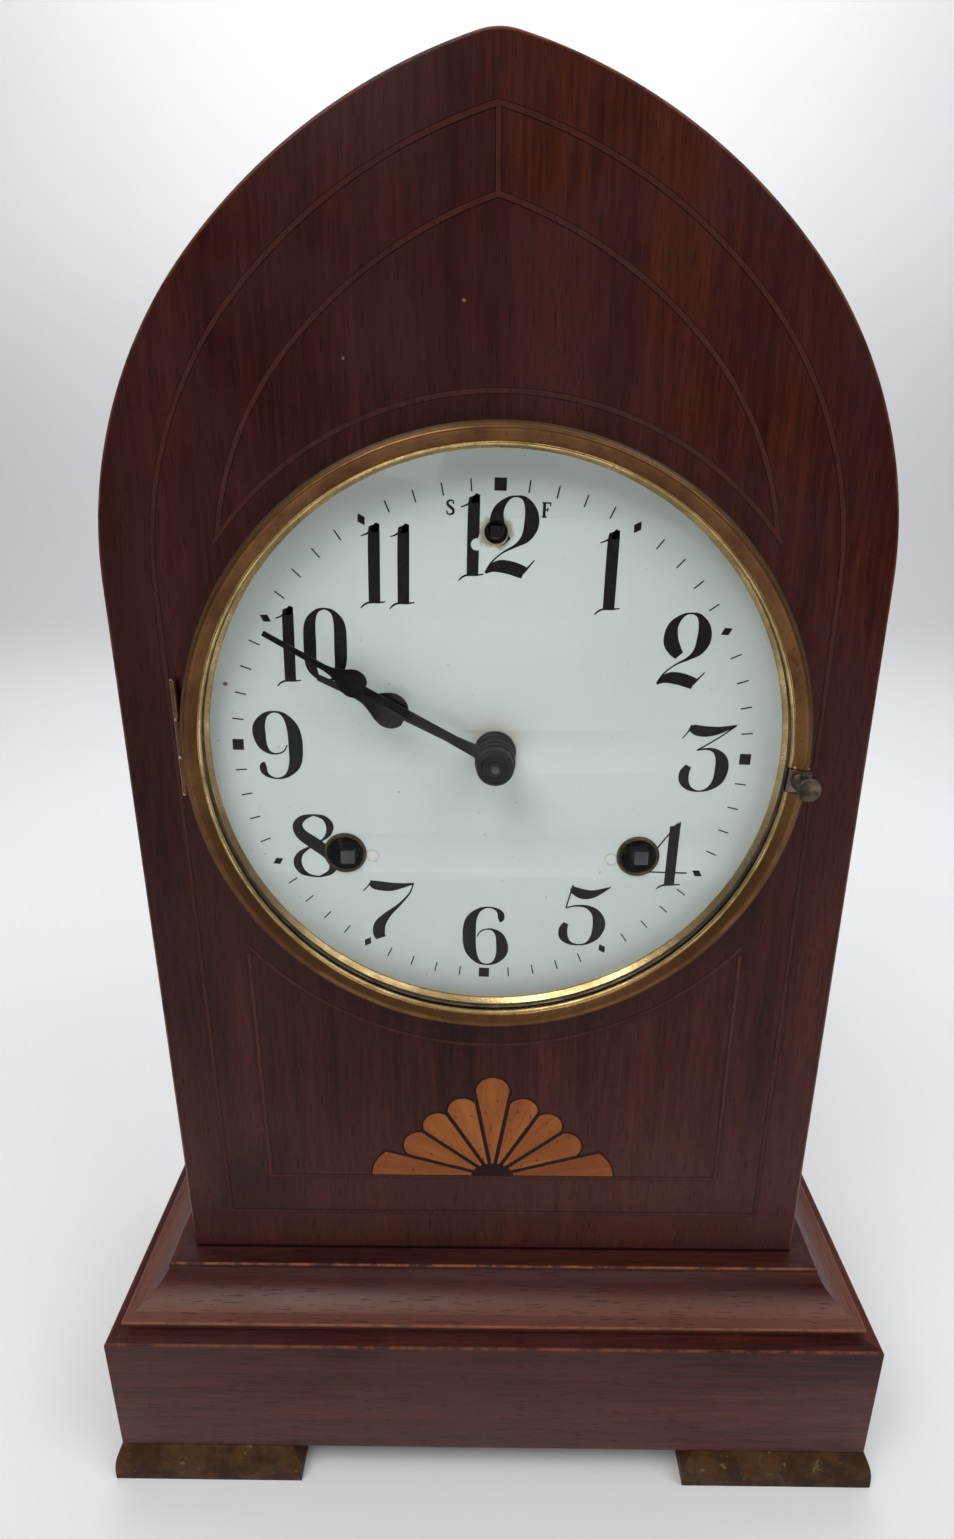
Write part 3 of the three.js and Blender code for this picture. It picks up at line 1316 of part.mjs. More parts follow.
// Hammer: its arm hangs behind the back plate and its head rests just off the gong's outer turn
const contact = radians(hammerContactAngle);
const headAt = polar(gongOuter + hammerGap + hammerHeadLength / 2, contact, gongAt);
const armBack = gongDepth - gongWire / 2 - hammerArmGap;
const armFront = armBack - hammerArmThickness;
const armAngle = Math.atan2(headAt[1] - hammerAt[1], headAt[0] - hammerAt[0]);
const armOutline = [
  polar(hammerArmHalf, armAngle - Math.PI / 2, hammerAt),
  polar(hammerArmHalf, armAngle - Math.PI / 2, headAt),
  polar(hammerArmHalf, armAngle + Math.PI / 2, headAt),
  polar(hammerArmHalf, armAngle + Math.PI / 2, hammerAt),
];
const headTip = polar(-hammerHeadLength / 2, contact, headAt);
const headTail = polar(hammerHeadLength / 2, contact, headAt);
const headOutline = [
  polar(hammerHeadRadius, contact - Math.PI / 2, headTip),
  polar(hammerHeadRadius, contact - Math.PI / 2, headTail),
  polar(hammerHeadRadius, contact + Math.PI / 2, headTail),
  polar(hammerHeadRadius, contact + Math.PI / 2, headTip),
];
addDial('hammer', join(
  pivoted(hammerAt, arborRadius, armBack),
  plate(armOutline, armFront, armBack - armFront),
  rod(2 * arborRadius, armFront - 1, armBack, hammerAt, smallSteps),
  rod(hammerArmHalf, armFront, gongDepth, headAt),
  plate(headOutline, gongDepth - hammerHeadRadius, 2 * hammerHeadRadius),
), steel);

export default clock;
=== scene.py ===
import json
import math

import bpy
from mathutils import Matrix, Vector
from mathutils.geometry import intersect_point_line


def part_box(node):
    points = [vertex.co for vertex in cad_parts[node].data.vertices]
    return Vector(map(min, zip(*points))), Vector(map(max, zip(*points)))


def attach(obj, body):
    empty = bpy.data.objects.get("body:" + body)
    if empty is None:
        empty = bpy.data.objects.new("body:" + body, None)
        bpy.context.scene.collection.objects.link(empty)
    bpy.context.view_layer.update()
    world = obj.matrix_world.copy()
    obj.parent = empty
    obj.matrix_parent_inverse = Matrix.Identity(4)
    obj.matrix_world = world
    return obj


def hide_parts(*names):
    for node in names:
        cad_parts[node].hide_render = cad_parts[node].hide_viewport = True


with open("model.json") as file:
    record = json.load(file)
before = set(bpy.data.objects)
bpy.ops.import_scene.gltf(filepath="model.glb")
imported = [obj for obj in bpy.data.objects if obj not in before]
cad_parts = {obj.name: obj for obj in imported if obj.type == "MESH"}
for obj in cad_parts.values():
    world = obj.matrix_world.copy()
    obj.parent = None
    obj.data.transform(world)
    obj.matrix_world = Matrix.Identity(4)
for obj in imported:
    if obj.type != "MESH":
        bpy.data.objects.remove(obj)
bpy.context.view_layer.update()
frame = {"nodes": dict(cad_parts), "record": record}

# Pieces are drawn in millimetres: x across, y back from the face of the case, z up from the floor
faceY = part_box("front_panel")[0].y
dialZ = 1000 * sum(corner.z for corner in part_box("dial_plate")) / 2
dialCentre = (0, dialZ)
regulatorAt = (0, dialZ + 51)
toFrame = Matrix.Translation((0, faceY, 0)) @ Matrix.Scale(0.001, 4)


def inClock(node):
    return [[1000 * corner.x, 1000 * (corner.y - faceY), 1000 * corner.z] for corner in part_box(node)]


def span(node, axis):
    return [corner["xyz".index(axis)] for corner in inClock(node)]


def pick(piece):
    bpy.ops.object.select_all(action="DESELECT")
    piece.select_set(True)
    bpy.context.view_layer.objects.active = piece


def linked(name, data):
    thing = bpy.data.objects.new(name, data)
    bpy.context.scene.collection.objects.link(thing)
    return thing


def newMesh(name, points, edges, faces):
    mesh = bpy.data.meshes.new(name)
    mesh.from_pydata(points, edges, faces)
    return linked(name, mesh)


def arc(centre, radius, start, end, steps):
    return [(centre[0] + radius * math.cos(start + (end - start) * i / steps),
             centre[1] + radius * math.sin(start + (end - start) * i / steps)) for i in range(steps + 1)]


# A socket that can be written in sums
class Wire:
    def __init__(self, tree, socket=None):
        self.tree = tree
        self.socket = socket

    def node(self, kind, sockets=None, out=0, **settings):
        made = self.tree.nodes.new("ShaderNode" + kind)
        for name, value in settings.items():
            if name == "stops":
                ramp = made.color_ramp.elements
                while len(ramp) < len(value):
                    ramp.new(1.0)
                for stop, (position, colour) in zip(ramp, value):
                    stop.position = position
                    stop.color = (*colour, 1)
            else:
                setattr(made, name, value)
        for name, value in (sockets or {}).items():
            plug = made.inputs[name]
            if isinstance(value, Wire):
                self.tree.links.new(value.socket, plug)
            elif hasattr(plug.default_value, "__len__") and len(plug.default_value) == 4:
                plug.default_value = (*value, 1)
            else:
                plug.default_value = value
        return Wire(self.tree, made.outputs[out] if made.outputs else None)

    def maths(self, operation, first, second):
        return self.node("Math", {0: first, 1: second}, operation=operation)

    def __add__(self, other):
        return self.maths("ADD", self, other)

    def __sub__(self, other):
        return self.maths("SUBTRACT", self, other)

    def __rsub__(self, other):
        return self.maths("SUBTRACT", other, self)

    def __mul__(self, other):
        return self.maths("MULTIPLY", self, other)

    __radd__ = __add__
    __rmul__ = __mul__

    def between(self, low, high, fromZero=0.0, toOne=1.0):
        ends = {"From Min": low, "From Max": high, "To Min": fromZero, "To Max": toOne}
        return self.node("MapRange", {"Value": self, **ends}, interpolation_type="SMOOTHSTEP")

    def blend(self, under, over):
        return self.node("Mix", {0: self, 6: under, 7: over}, out=2, data_type="RGBA")


def startFinish(name):
    material = bpy.data.materials.new(name)
    material.use_nodes = True
    material.node_tree.nodes.clear()
    return material, Wire(material.node_tree)


def endFinish(sheet, sockets, kind="BsdfPrincipled"):
    sheet.node("OutputMaterial", {"Surface": sheet.node(kind, sockets)})


def objectSpot(sheet, stretch=(1, 1, 1), shift=(0, 0, 0), bent=False):
    if bent:
        spot = sheet.node("Attribute", out="Vector", attribute_name="grain")
    else:
        spot = sheet.node("TexCoord", out="Object")
    return sheet.node("Mapping", {"Vector": spot, "Scale": stretch, "Location": shift})


def noise(sheet, spot, scale, detail=3.0, rough=0.55):
    sockets = {"Vector": spot, "Scale": scale, "Detail": detail, "Roughness": rough}
    return sheet.node("TexNoise", sockets, out="Fac")


def height(sheet):
    return sheet.node("SeparateXYZ", {0: sheet.node("TexCoord", out="Object")}, out="Z")


# How far in millimetres a point lies from a spot on the front, seen from the front
def near(sheet, x, z):
    spot = sheet.node("TexCoord", out="Object")
    flat = sheet.node("VectorMath", {0: spot, 1: (1, 0, 1)}, operation="MULTIPLY")
    centre = toFrame @ Vector((x, 0, z))
    ends = {0: flat, 1: (centre.x, 0, centre.z)}
    return sheet.node("VectorMath", ends, out="Value", operation="DISTANCE") * 1000


# Camera and stage
photo = {"tall": 1539, "focal": 836.69, "sensor": 36, "clip": (0.005, 50),
         "place": (-1.927, -191.075, 281.577), "yaw": 0.0123, "pitch": 0.3266, "roll": -0.0011}


def makeCamera():
    lens = bpy.data.cameras.new("photoCamera")
    lens.sensor_width = photo["sensor"]
    lens.lens = photo["focal"] * photo["sensor"] / photo["tall"]
    lens.clip_start, lens.clip_end = photo["clip"]
    camera = linked("photoCamera", lens)
    yaw, pitch, roll = photo["yaw"], photo["pitch"], photo["roll"]
    ahead = Vector((-math.sin(yaw) * math.cos(pitch), math.cos(yaw) * math.cos(pitch), -math.sin(pitch)))
    right = Vector((math.cos(yaw), math.sin(yaw), 0))
    up = right.cross(ahead)
    tiltedRight = math.cos(roll) * right + math.sin(roll) * up
    tiltedUp = math.cos(roll) * up - math.sin(roll) * right
    turn = Matrix((tiltedRight, tiltedUp, -ahead)).transposed()
    camera.matrix_world = Matrix.Translation(toFrame @ Vector(photo["place"])) @ turn.to_4x4()
    bpy.context.scene.camera = camera


stage = {"half": 1.5, "wallBack": 0.75, "wallTop": 2.2, "bend": 0.5, "bendSteps": 12,
         "paper": (0.86, 0.87, 0.88), "lift": 1.03, "clouds": 2.0,
         "paintedShade": (0.66, 0.67, 0.69), "paintedShadeRise": (-0.02, 0.10), "paintedShadeFall": (0.75, 0.2),
         "sky": (0.97, 0.985, 1.0), "skyLevel": 0.40, "skySpan": (-0.8, 0.2), "frontShare": 0.06,
         "seenSky": 0.8}
lamps = [  # name, place, aim, size, watts, colour
    ("keyLamp", (-0.45, -0.7, 1.35), (0, 0, 0.18), 0.8, 10.5, (1.0, 0.98, 0.95)),
    ("fillLamp", (0.8, -0.55, 1.25), (0, 0, 0.18), 0.8, 6.0, (0.95, 0.97, 1.0)),
    ("topLamp", (0.0, 0.2, 1.5), (0, 0, 0.18), 0.8, 1.2, (1.0, 1.0, 1.0)),
    ("frontLamp", (0.0, -0.85, 0.16), (0, 0, 0.04), 0.5, 0.85, (1.0, 0.97, 0.94)),
    ("wallLamp", (0.0, 0.35, 1.6), (0, 1.3, 1.15), 0.9, 14.0, (0.97, 0.98, 1.0)),
]


# The room is darker in front of the clock than above and behind it
def makeRoom():
    room = bpy.data.worlds.new("room")
    bpy.context.scene.world = room
    room.use_nodes = True
    room.node_tree.nodes.clear()
    sheet = Wire(room.node_tree)
    depth = sheet.node("SeparateXYZ", {0: sheet.node("TexCoord", out="Generated")}, out="Y")
    level = depth.between(*stage["skySpan"], stage["skyLevel"] * stage["frontShare"], stage["skyLevel"])
    seen = sheet.node("LightPath", out="Is Camera Ray")
    level = level * (1 - seen) + seen * stage["seenSky"]
    sky = sheet.node("Background", {"Color": stage["sky"], "Strength": level})
    sheet.node("OutputWorld", {"Surface": sky})


def makePaper():
    half, back, bend = stage["half"], stage["wallBack"], stage["bend"]
    corner = arc((back, bend), bend, -math.pi / 2, 0, stage["bendSteps"])
    path = [(-half, 0.0), *corner, (back + bend, stage["wallTop"])]
    points = [(x, y, z) for y, z in path for x in (-half, half)]
    faces = [(2 * i, 2 * i + 1, 2 * i + 3, 2 * i + 2) for i in range(len(path) - 1)]
    paper = newMesh("paperSweep", points, [], faces)
    pick(paper)
    bpy.ops.object.shade_smooth()
    material, sheet = startFinish("sweepPaper")
    clouds = noise(sheet, objectSpot(sheet), stage["clouds"]).between(0.3, 0.7)
    colour = clouds.blend(stage["paper"], tuple(c * stage["lift"] for c in stage["paper"]))
    up = height(sheet)
    # Painted shade: a darker band across the bend and the lower wall, from just above the floor, fading out
    # by 0.75 m up
    colour = (up.between(*stage["paintedShadeRise"]) * up.between(*stage["paintedShadeFall"])).blend(colour, stage["paintedShade"])
    endFinish(sheet, {"Base Color": colour, "Roughness": 0.9})
    paper.data.materials.append(material)


def makeLamps():
    for name, spot, aim, size, watts, colour in lamps:
        light = bpy.data.lights.new(name, "AREA")
        light.size, light.energy, light.color = size, watts, colour
        lamp = linked(name, light)
        lamp.location = spot
        lamp.rotation_euler = (Vector(aim) - Vector(spot)).to_track_quat("-Z", "Y").to_euler()


bpy.context.scene.view_settings.view_transform = "Standard"
makeCamera()
makeRoom()
makePaper()
makeLamps()
print("camera and stage ready")


# Woods: bands of painted light, smudges and chips are places on the clock in millimetres
mouldingLow = span("base_moulding", "z")[0]
mahoganyLook = {
    "deep": (0.012, 0.0023, 0.0018), "mid": (0.039, 0.0083, 0.0060), "light": (0.082, 0.0190, 0.0105),
    "bloom": (0.043, 0.0135, 0.0120), "worn": (0.27, 0.085, 0.030), "pore": (0.006, 0.0018, 0.0015),
    "gloss": 0.30, "shine": 0.12}
# The panel's lower part is painted lighter: painted light standing in for light reflected up onto it from the
# floor
panelLook = {
    **mahoganyLook, "chips": ((-6.8, 317.3, 0.55), (-31.9, 306.7, 0.5)), "chip": (0.30, 0.17, 0.11),
    "smudges": ((-72, 92, 16),), "smudge": (0.011, 0.0055, 0.0062),
    "paintedLightBand": (135, 75, 0.5), "paintedLightColour": (0.092, 0.0330, 0.0245)}
# The cove is a lighter copy of the mahogany, painted lighter for the light it catches from the front, with
# painted light stronger still on its lower part
paintedLightCoveLook = {
    **mahoganyLook, "deep": (0.018, 0.0036, 0.0026), "mid": (0.052, 0.0120, 0.0080),
    "light": (0.105, 0.0270, 0.0150), "bloom": (0.055, 0.0165, 0.0125), "gloss": 0.34, "shine": 0.2,
    "paintedLightBand": (mouldingLow + 9.5, mouldingLow + 4.5, 0.55), "paintedLightColour": (0.20, 0.080, 0.060)}
plinthLook = {
    **mahoganyLook, "mid": (0.058, 0.0130, 0.0096), "light": (0.112, 0.0270, 0.0160),
    "bloom": (0.070, 0.0225, 0.0195), "shine": 0.17}
lineLook = {
    **mahoganyLook, "deep": (0.042, 0.0110, 0.0080), "mid": (0.063, 0.0170, 0.0115),
    "light": (0.090, 0.0250, 0.0150), "bloom": (0.060, 0.019, 0.014)}
# A dark wood for the fan's grounds and the stringing's edges, and for the strip of painted shade below the
# body
darkInlayAndShadeLook = {
    **mahoganyLook, "mid": (0.013, 0.005, 0.004), "light": (0.020, 0.008, 0.006),
    "bloom": (0.014, 0.006, 0.005)}
backLook = {
    "deep": (0.070, 0.029, 0.012), "mid": (0.135, 0.062, 0.025), "light": (0.21, 0.105, 0.045),
    "bloom": (0.125, 0.060, 0.027), "worn": (0.28, 0.17, 0.09), "pore": (0.03, 0.014, 0.007),
    "gloss": 0.6, "shine": 0.3}
woodGrain = {"long": 0.05, "short": 0.06, "figure": 30, "ribbon": 170, "fibre": 1100, "pores": 3000,
             "bloom": 11, "patches": 190, "haze": 22, "dents": 0.08, "dentDepth": 0.0004}


# The grain runs along an axis, or along a bent board
def woodFinish(name, along, look, shift=(0, 0, 0)):
    material, sheet = startFinish(name)
    bent = along == "bend"
    axis = "x" if bent else along
    long, short = ([woodGrain[run] if side == axis else 1 for side in "xyz"] for run in ("long", "short"))
    spot = objectSpot(sheet, long, shift, bent)
    close = objectSpot(sheet, short, shift, bent)
    figure = noise(sheet, spot, woodGrain["figure"], 3)
    ribbon = noise(sheet, spot, woodGrain["ribbon"], 4, 0.6)
    fibre = noise(sheet, close, woodGrain["fibre"], 3)
    tone = figure * 0.4 + ribbon * 0.35 + fibre * 0.25
    stops = [(0.38, look["deep"]), (0.5, look["mid"]), (0.63, look["light"])]
    wood = sheet.node("ValToRGB", {"Fac": tone}, stops=stops)
    bloom = noise(sheet, objectSpot(sheet, shift=shift), woodGrain["bloom"], 4, 0.6).between(0.42, 0.64)
    wood = (bloom * 0.6).blend(wood, look["bloom"])
    # Painted light: the wood is painted lighter below a given height, by a given share
    if "paintedLightBand" in look:
        top, bottom, share = look["paintedLightBand"]
        wood = (height(sheet).between(top / 1000, bottom / 1000) * share).blend(wood, look["paintedLightColour"])
    for x, z, size in look.get("smudges", ()):
        shade = (near(sheet, x, z) + bloom * size).between(size * 1.7, size * 0.6)
        wood = (shade * 0.6).blend(wood, look["smudge"])
    pores = noise(sheet, close, woodGrain["pores"], 1, 0.4).between(0.61, 0.70)
    wood = (pores * 0.6).blend(wood, look["pore"])
    wear = sheet.node("Attribute", out="Fac", attribute_name="wear")
    patches = noise(sheet, objectSpot(sheet), woodGrain["patches"], 5, 0.7).between(0.36, 0.6)
    wood = (wear * patches * 0.85).blend(wood, look["worn"])
    for x, z, size in look.get("chips", ()):
        chip = (near(sheet, x, z) + patches * 0.5).between(size + 0.3, size)
        wood = (chip * 0.8).blend(wood, look["chip"])
    haze = noise(sheet, objectSpot(sheet), woodGrain["haze"], 4, 0.6)
    gloss = haze.between(0.3, 0.7, look["gloss"] - 0.06, look["gloss"] + 0.1) + pores * 0.15
    dents = sheet.node("Bump", {"Strength": woodGrain["dents"], "Distance": woodGrain["dentDepth"],
                                "Height": fibre * 0.5 - pores * 0.6 + haze * 0.4})
    endFinish(sheet, {"Base Color": wood, "Roughness": gloss, "Normal": dents,
                      "Specular IOR Level": look["shine"]})
    return material


bodyWood = woodFinish("bodyMahogany", "z", panelLook)
rimWood = woodFinish("rimMahogany", "bend", mahoganyLook, (0.4, 0.2, 0.6))
coveWood = woodFinish("coveMahogany", "x", paintedLightCoveLook, (0.8, 0.1, 0.3))
coveCheek = woodFinish("coveCheekMahogany", "y", paintedLightCoveLook, (0.6, 0.4, 0.3))
frontWood = woodFinish("boardMahogany", "x", plinthLook, (0.3, 0.1, 0))
cheekWood = woodFinish("cheekMahogany", "y", plinthLook, (0.1, 0.7, 0))
backWood = woodFinish("backBoard", "z", backLook, (0.5, 0, 0.2))
lineWood = woodFinish("stringingWood", "z", lineLook, (0.2, 0.2, 0.2))
darkLine = woodFinish("darkInlayAndJointShade", "z", darkInlayAndShadeLook)


# Metals: bright, dull and dirty colour, then roughness and the size of the clouds
def metalFinish(name, bright, dull, dirt, gloss, grain=60, metal=1.0, stain=None, shine=0.5):
    material, sheet = startFinish(name)
    spot = objectSpot(sheet)
    cloud = noise(sheet, spot, grain, 5, 0.65)
    fine = noise(sheet, spot, grain * 14, 3, 0.6)
    specks = fine.between(0.58, 0.72)
    colour = (specks * 0.6).blend(cloud.between(0.38, 0.62).blend(dull, bright), dirt)
    metallic = metal
    if stain:
        aside = objectSpot(sheet, shift=(0.4, 0.2, 0.1))
        spots = noise(sheet, aside, grain * 1.7, 6, 0.7).between(0.60, 0.70)
        colour = spots.blend(colour, stain)
        metallic = metal - spots * (0.9 * metal)
    rough = cloud.between(0.3, 0.7, gloss + 0.12, gloss - 0.05) + specks * 0.12
    dents = sheet.node("Bump", {"Strength": 0.12, "Distance": 0.0003, "Height": cloud + fine * 0.4})
    endFinish(sheet, {"Base Color": colour, "Metallic": metallic, "Roughness": rough, "Normal": dents,
                      "Specular IOR Level": shine})
    return material


agedBrass = metalFinish(
    "agedBrass", (0.150, 0.070, 0.024), (0.092, 0.037, 0.0125), (0.04, 0.018, 0.006), 0.34, metal=0.8)
brightBrass = metalFinish(
    "polishedBrass", (0.58, 0.42, 0.20), (0.36, 0.24, 0.10), (0.12, 0.07, 0.03), 0.26, 90)
wornBrass = metalFinish(
    "wornBrass", (0.40, 0.28, 0.15), (0.22, 0.13, 0.055), (0.09, 0.05, 0.02), 0.32, 70, 0.9)
dullBrass = metalFinish(
    "grommetBrass", (0.115, 0.088, 0.055), (0.065, 0.048, 0.030), (0.03, 0.022, 0.014), 0.4, 160)
footBrass = metalFinish(
    "footBrass", (0.078, 0.034, 0.0105), (0.040, 0.0165, 0.0072), (0.018, 0.008, 0.005), 0.5, 150, 0.1,
    (0.15, 0.12, 0.065), 0.12)
plateBrass = metalFinish("plateBrass", (0.56, 0.38, 0.15), (0.42, 0.27, 0.10), (0.16, 0.10, 0.04), 0.3, 40)
dullKnob = metalFinish(
    "knobMetal", (0.165, 0.132, 0.094), (0.090, 0.072, 0.051), (0.03, 0.026, 0.02), 0.38, 160)
steel = metalFinish("turnedSteel", (0.42, 0.42, 0.43), (0.28, 0.28, 0.29), (0.10, 0.09, 0.08), 0.32, 90)
darkSteel = metalFinish(
    "windingSteel", (0.115, 0.115, 0.12), (0.075, 0.075, 0.08), (0.04, 0.04, 0.04), 0.42, 160)
springSteel = metalFinish("springSteel", (0.16, 0.17, 0.21), (0.09, 0.10, 0.13), (0.05, 0.04, 0.03), 0.3, 90)
hourSteel = metalFinish(
    "hourSteel", (0.046, 0.039, 0.040), (0.026, 0.022, 0.023), (0.028, 0.019, 0.015), 0.38, 160)
handSteel = metalFinish(
    "handSteel", (0.022, 0.020, 0.022), (0.012, 0.011, 0.012), (0.03, 0.016, 0.010), 0.42, 160)
castIron = metalFinish("castIron", (0.05, 0.05, 0.05), (0.025, 0.025, 0.025), (0.05, 0.02, 0.01), 0.6, 200)


inkLook = {"dark": (0.004, 0.004, 0.005), "pale": (0.010, 0.009, 0.011), "gloss": 0.35, "shine": 0.15,
           "clouds": 500}


def inkFinish():
    material, sheet = startFinish("dialInkAndHoleShade")
    cloud = noise(sheet, objectSpot(sheet), inkLook["clouds"])
    endFinish(sheet, {
        "Base Color": cloud.between(0.35, 0.65).blend(inkLook["dark"], inkLook["pale"]),
        "Roughness": cloud.between(0, 1, inkLook["gloss"] - 0.05, inkLook["gloss"] + 0.1),
        "Specular IOR Level": inkLook["shine"]})
    return material


enamelLook = {
    "cool": (0.67, 0.74, 0.725), "pale": (0.71, 0.775, 0.76), "clouds": 26, "ragged": 420,
    "wash": (0.70, 0.66, 0.53), "washAt": (0, dialZ + 2), "rust": (0.20, 0.13, 0.05),
    "flaw": (0.80, 0.83, 0.79), "flawRim": (0.30, 0.25, 0.16),
    "flawsAt": ((-30.6, dialZ - 27.4), (29.4, dialZ - 28.2)), "spot": (0.09, 0.045, 0.018),
    "spotAt": (-63.5, dialZ + 16.6), "speck": (0.25, 0.24, 0.23), "specks": 700}


def enamelFinish():
    look = enamelLook
    material, sheet = startFinish("dialEnamel")
    ragged = noise(sheet, objectSpot(sheet), look["ragged"], 5, 0.7)
    cloud = noise(sheet, objectSpot(sheet), look["clouds"], 4)
    colour = cloud.between(0.3, 0.7).blend(look["cool"], look["pale"])
    wash = (near(sheet, *look["washAt"]) + ragged * 5).between(11, 6)
    colour = (wash * 0.55).blend(colour, look["wash"])
    rust = (near(sheet, *regulatorAt) + ragged * 4.0).between(6.4, 4.9)
    colour = (rust * 0.8).blend(colour, look["rust"])
    for flawAt in look["flawsAt"]:
        flaw = near(sheet, *flawAt) + ragged * 2.2
        colour = (flaw.between(3.1, 2.7) * 0.45).blend(colour, look["flawRim"])
        colour = (flaw.between(2.7, 2.4) * 0.8).blend(colour, look["flaw"])
    spot = (near(sheet, *look["spotAt"]) + ragged * 0.6).between(0.95, 0.7)
    colour = (spot * 0.85).blend(colour, look["spot"])
    specks = noise(sheet, objectSpot(sheet), look["specks"], 2, 0.4).between(0.71, 0.76)
    colour = (specks * 0.5).blend(colour, look["speck"])
    dents = sheet.node("Bump", {"Strength": 0.05, "Distance": 0.0003, "Height": cloud})
    endFinish(sheet, {"Base Color": colour, "Roughness": 0.28 + cloud * 0.12, "Normal": dents,
                      "Coat Weight": 0.2})
    return material


glassLook = {"bend": 1.45, "shine": (0.9, 0.95, 1.0), "gloss": 0.04, "clear": (0.985, 0.99, 0.99),
             "edge": 0.3, "smear": 0.004, "smears": 30}


def glassFinish():
    material, sheet = startFinish("clockGlass")
    smear = noise(sheet, objectSpot(sheet), glassLook["smears"], 4).between(0.5, 0.75)
    edge = sheet.node("Fresnel", {"IOR": glassLook["bend"]})
    behind = sheet.node("NewGeometry", out="Backfacing")
    shine = sheet.node("BsdfGlossy", {"Color": glassLook["shine"], "Roughness": glassLook["gloss"]})
    clear = sheet.node("BsdfTransparent", {"Color": glassLook["clear"]})
    amount = edge * (1 - behind) * glassLook["edge"] + smear * glassLook["smear"]
    endFinish(sheet, {0: amount, 1: clear, 2: shine}, "MixShader")
    return material


ink = inkFinish()
enamel = enamelFinish()
glass = glassFinish()
print("finishes ready")


# Modelling helpers
def weld(piece, gap=0.0005):
    pick(piece)
    bpy.ops.object.mode_set(mode="EDIT")
    bpy.ops.mesh.select_all(action="SELECT")
    bpy.ops.mesh.remove_doubles(threshold=gap)
    bpy.ops.mesh.normals_make_consistent(inside=False)
    bpy.ops.object.mode_set(mode="OBJECT")


def modify(piece, kind, **settings):
    pick(piece)
    modifier = piece.modifiers.new(kind.lower(), kind)
    for name, value in settings.items():
        setattr(modifier, name, value)
    bpy.ops.object.modifier_apply(modifier=modifier.name)


def circle(radius, steps, centre=(0, 0)):
    return arc(centre, radius, 0, 2 * math.pi, steps)[:-1]


# A smooth line through the points
def smoothLine(points, steps=6):
    line, axes = [], range(len(points[0]))
    for i in range(len(points) - 1):
        quad = [points[max(i - 1, 0)], points[i], points[i + 1], points[min(i + 2, len(points) - 1)]]
        for k in range(steps):
            t = k / steps
            weights = (-t + 2 * t * t - t ** 3, 2 - 5 * t * t + 3 * t ** 3,
                       t + 4 * t * t - 3 * t ** 3, t ** 3 - t * t)
            line.append(tuple(sum(w * p[axis] for w, p in zip(weights, quad)) / 2 for axis in axes))
    return line + [points[-1]]


def meshFromCurve(name, drawn):
    pick(linked(name, drawn))
    bpy.ops.object.convert(target="MESH")
    return bpy.context.object


# A flat piece seen from the front: its outer loop, then any holes
def flatPiece(name, loops, front, back, edge, rounds):
    drawn = bpy.data.curves.new(name, "CURVE")
    drawn.dimensions, drawn.fill_mode = "2D", "BOTH"
    for loop in loops:
        spline = drawn.splines.new("POLY")
        spline.points.add(len(loop) - 1)
        for point, (x, z) in zip(spline.points, loop):
            point.co = (x, z, 0, 1)
        spline.use_cyclic_u = True
    drawn.extrude = (back - front) / 2 - edge
    drawn.bevel_depth, drawn.bevel_resolution, drawn.offset = edge, rounds, -edge
    piece = meshFromCurve(name, drawn)
    upright = Matrix.Rotation(math.pi / 2, 4, "X")
    piece.data.transform(Matrix.Translation((0, (front + back) / 2, 0)) @ upright)
    weld(piece)
    return piece


# A turned piece about an axis that runs backwards
def turnedPiece(name, profile, steps, centre, closed=False):
    edges = [(i, i + 1) for i in range(len(profile) - 1)] + ([(len(profile) - 1, 0)] if closed else [])
    piece = newMesh(name, [(r, y, 0) for r, y in profile], edges, [])
    modify(piece, "SCREW", axis="Y", steps=steps, render_steps=steps, use_merge_vertices=True,
           merge_threshold=0.0005)
    piece.data.transform(Matrix.Translation((centre[0], 0, centre[1])))
    weld(piece)
    return piece


# A piece through loops of points, capped at both ends or closed to a ring
def loftPiece(name, loops, closed=False):
    count, rows = len(loops[0]), len(loops)
    faces = []
    for i in range(rows if closed else rows - 1):
        a, b = i * count, (i + 1) % rows * count
        faces += [(a + j, a + (j + 1) % count, b + (j + 1) % count, b + j) for j in range(count)]
    if not closed:
        faces += [tuple(range(count)), tuple(range((rows - 1) * count, rows * count))]
    piece = newMesh(name, [point for loop in loops for point in loop], [], faces)
    weld(piece)
    return piece


# Thin strips along lines of (across, up, width), all in one mesh, each a step in front of the last
def stripPiece(name, lines, front, back, step=0.0):
    points, faces = [], []
    for number, line in enumerate(lines):
        first = len(points)
        for i, (x, z, width) in enumerate(line):
            a, b = line[max(i - 1, 0)], line[min(i + 1, len(line) - 1)]
            along = Vector((b[0] - a[0], b[1] - a[1])).normalized()
            side = Vector((-along.y, along.x)) * width / 2
            for y in (front - step * number, back):
                points += [(x + side.x, y, z + side.y), (x - side.x, y, z - side.y)]
        last = first + 4 * (len(line) - 1)
        for a in range(first, last, 4):
            b = a + 4
            faces += [(a, a + 1, b + 1, b), (a + 2, b + 2, b + 3, a + 3),
                      (a, b, b + 2, a + 2), (a + 1, a + 3, b + 3, b + 1)]
        faces += [(first, first + 2, first + 3, first + 1), (last, last + 1, last + 3, last + 2)]
    piece = newMesh(name, points, [], faces)
    weld(piece, 0.00005)
    return piece


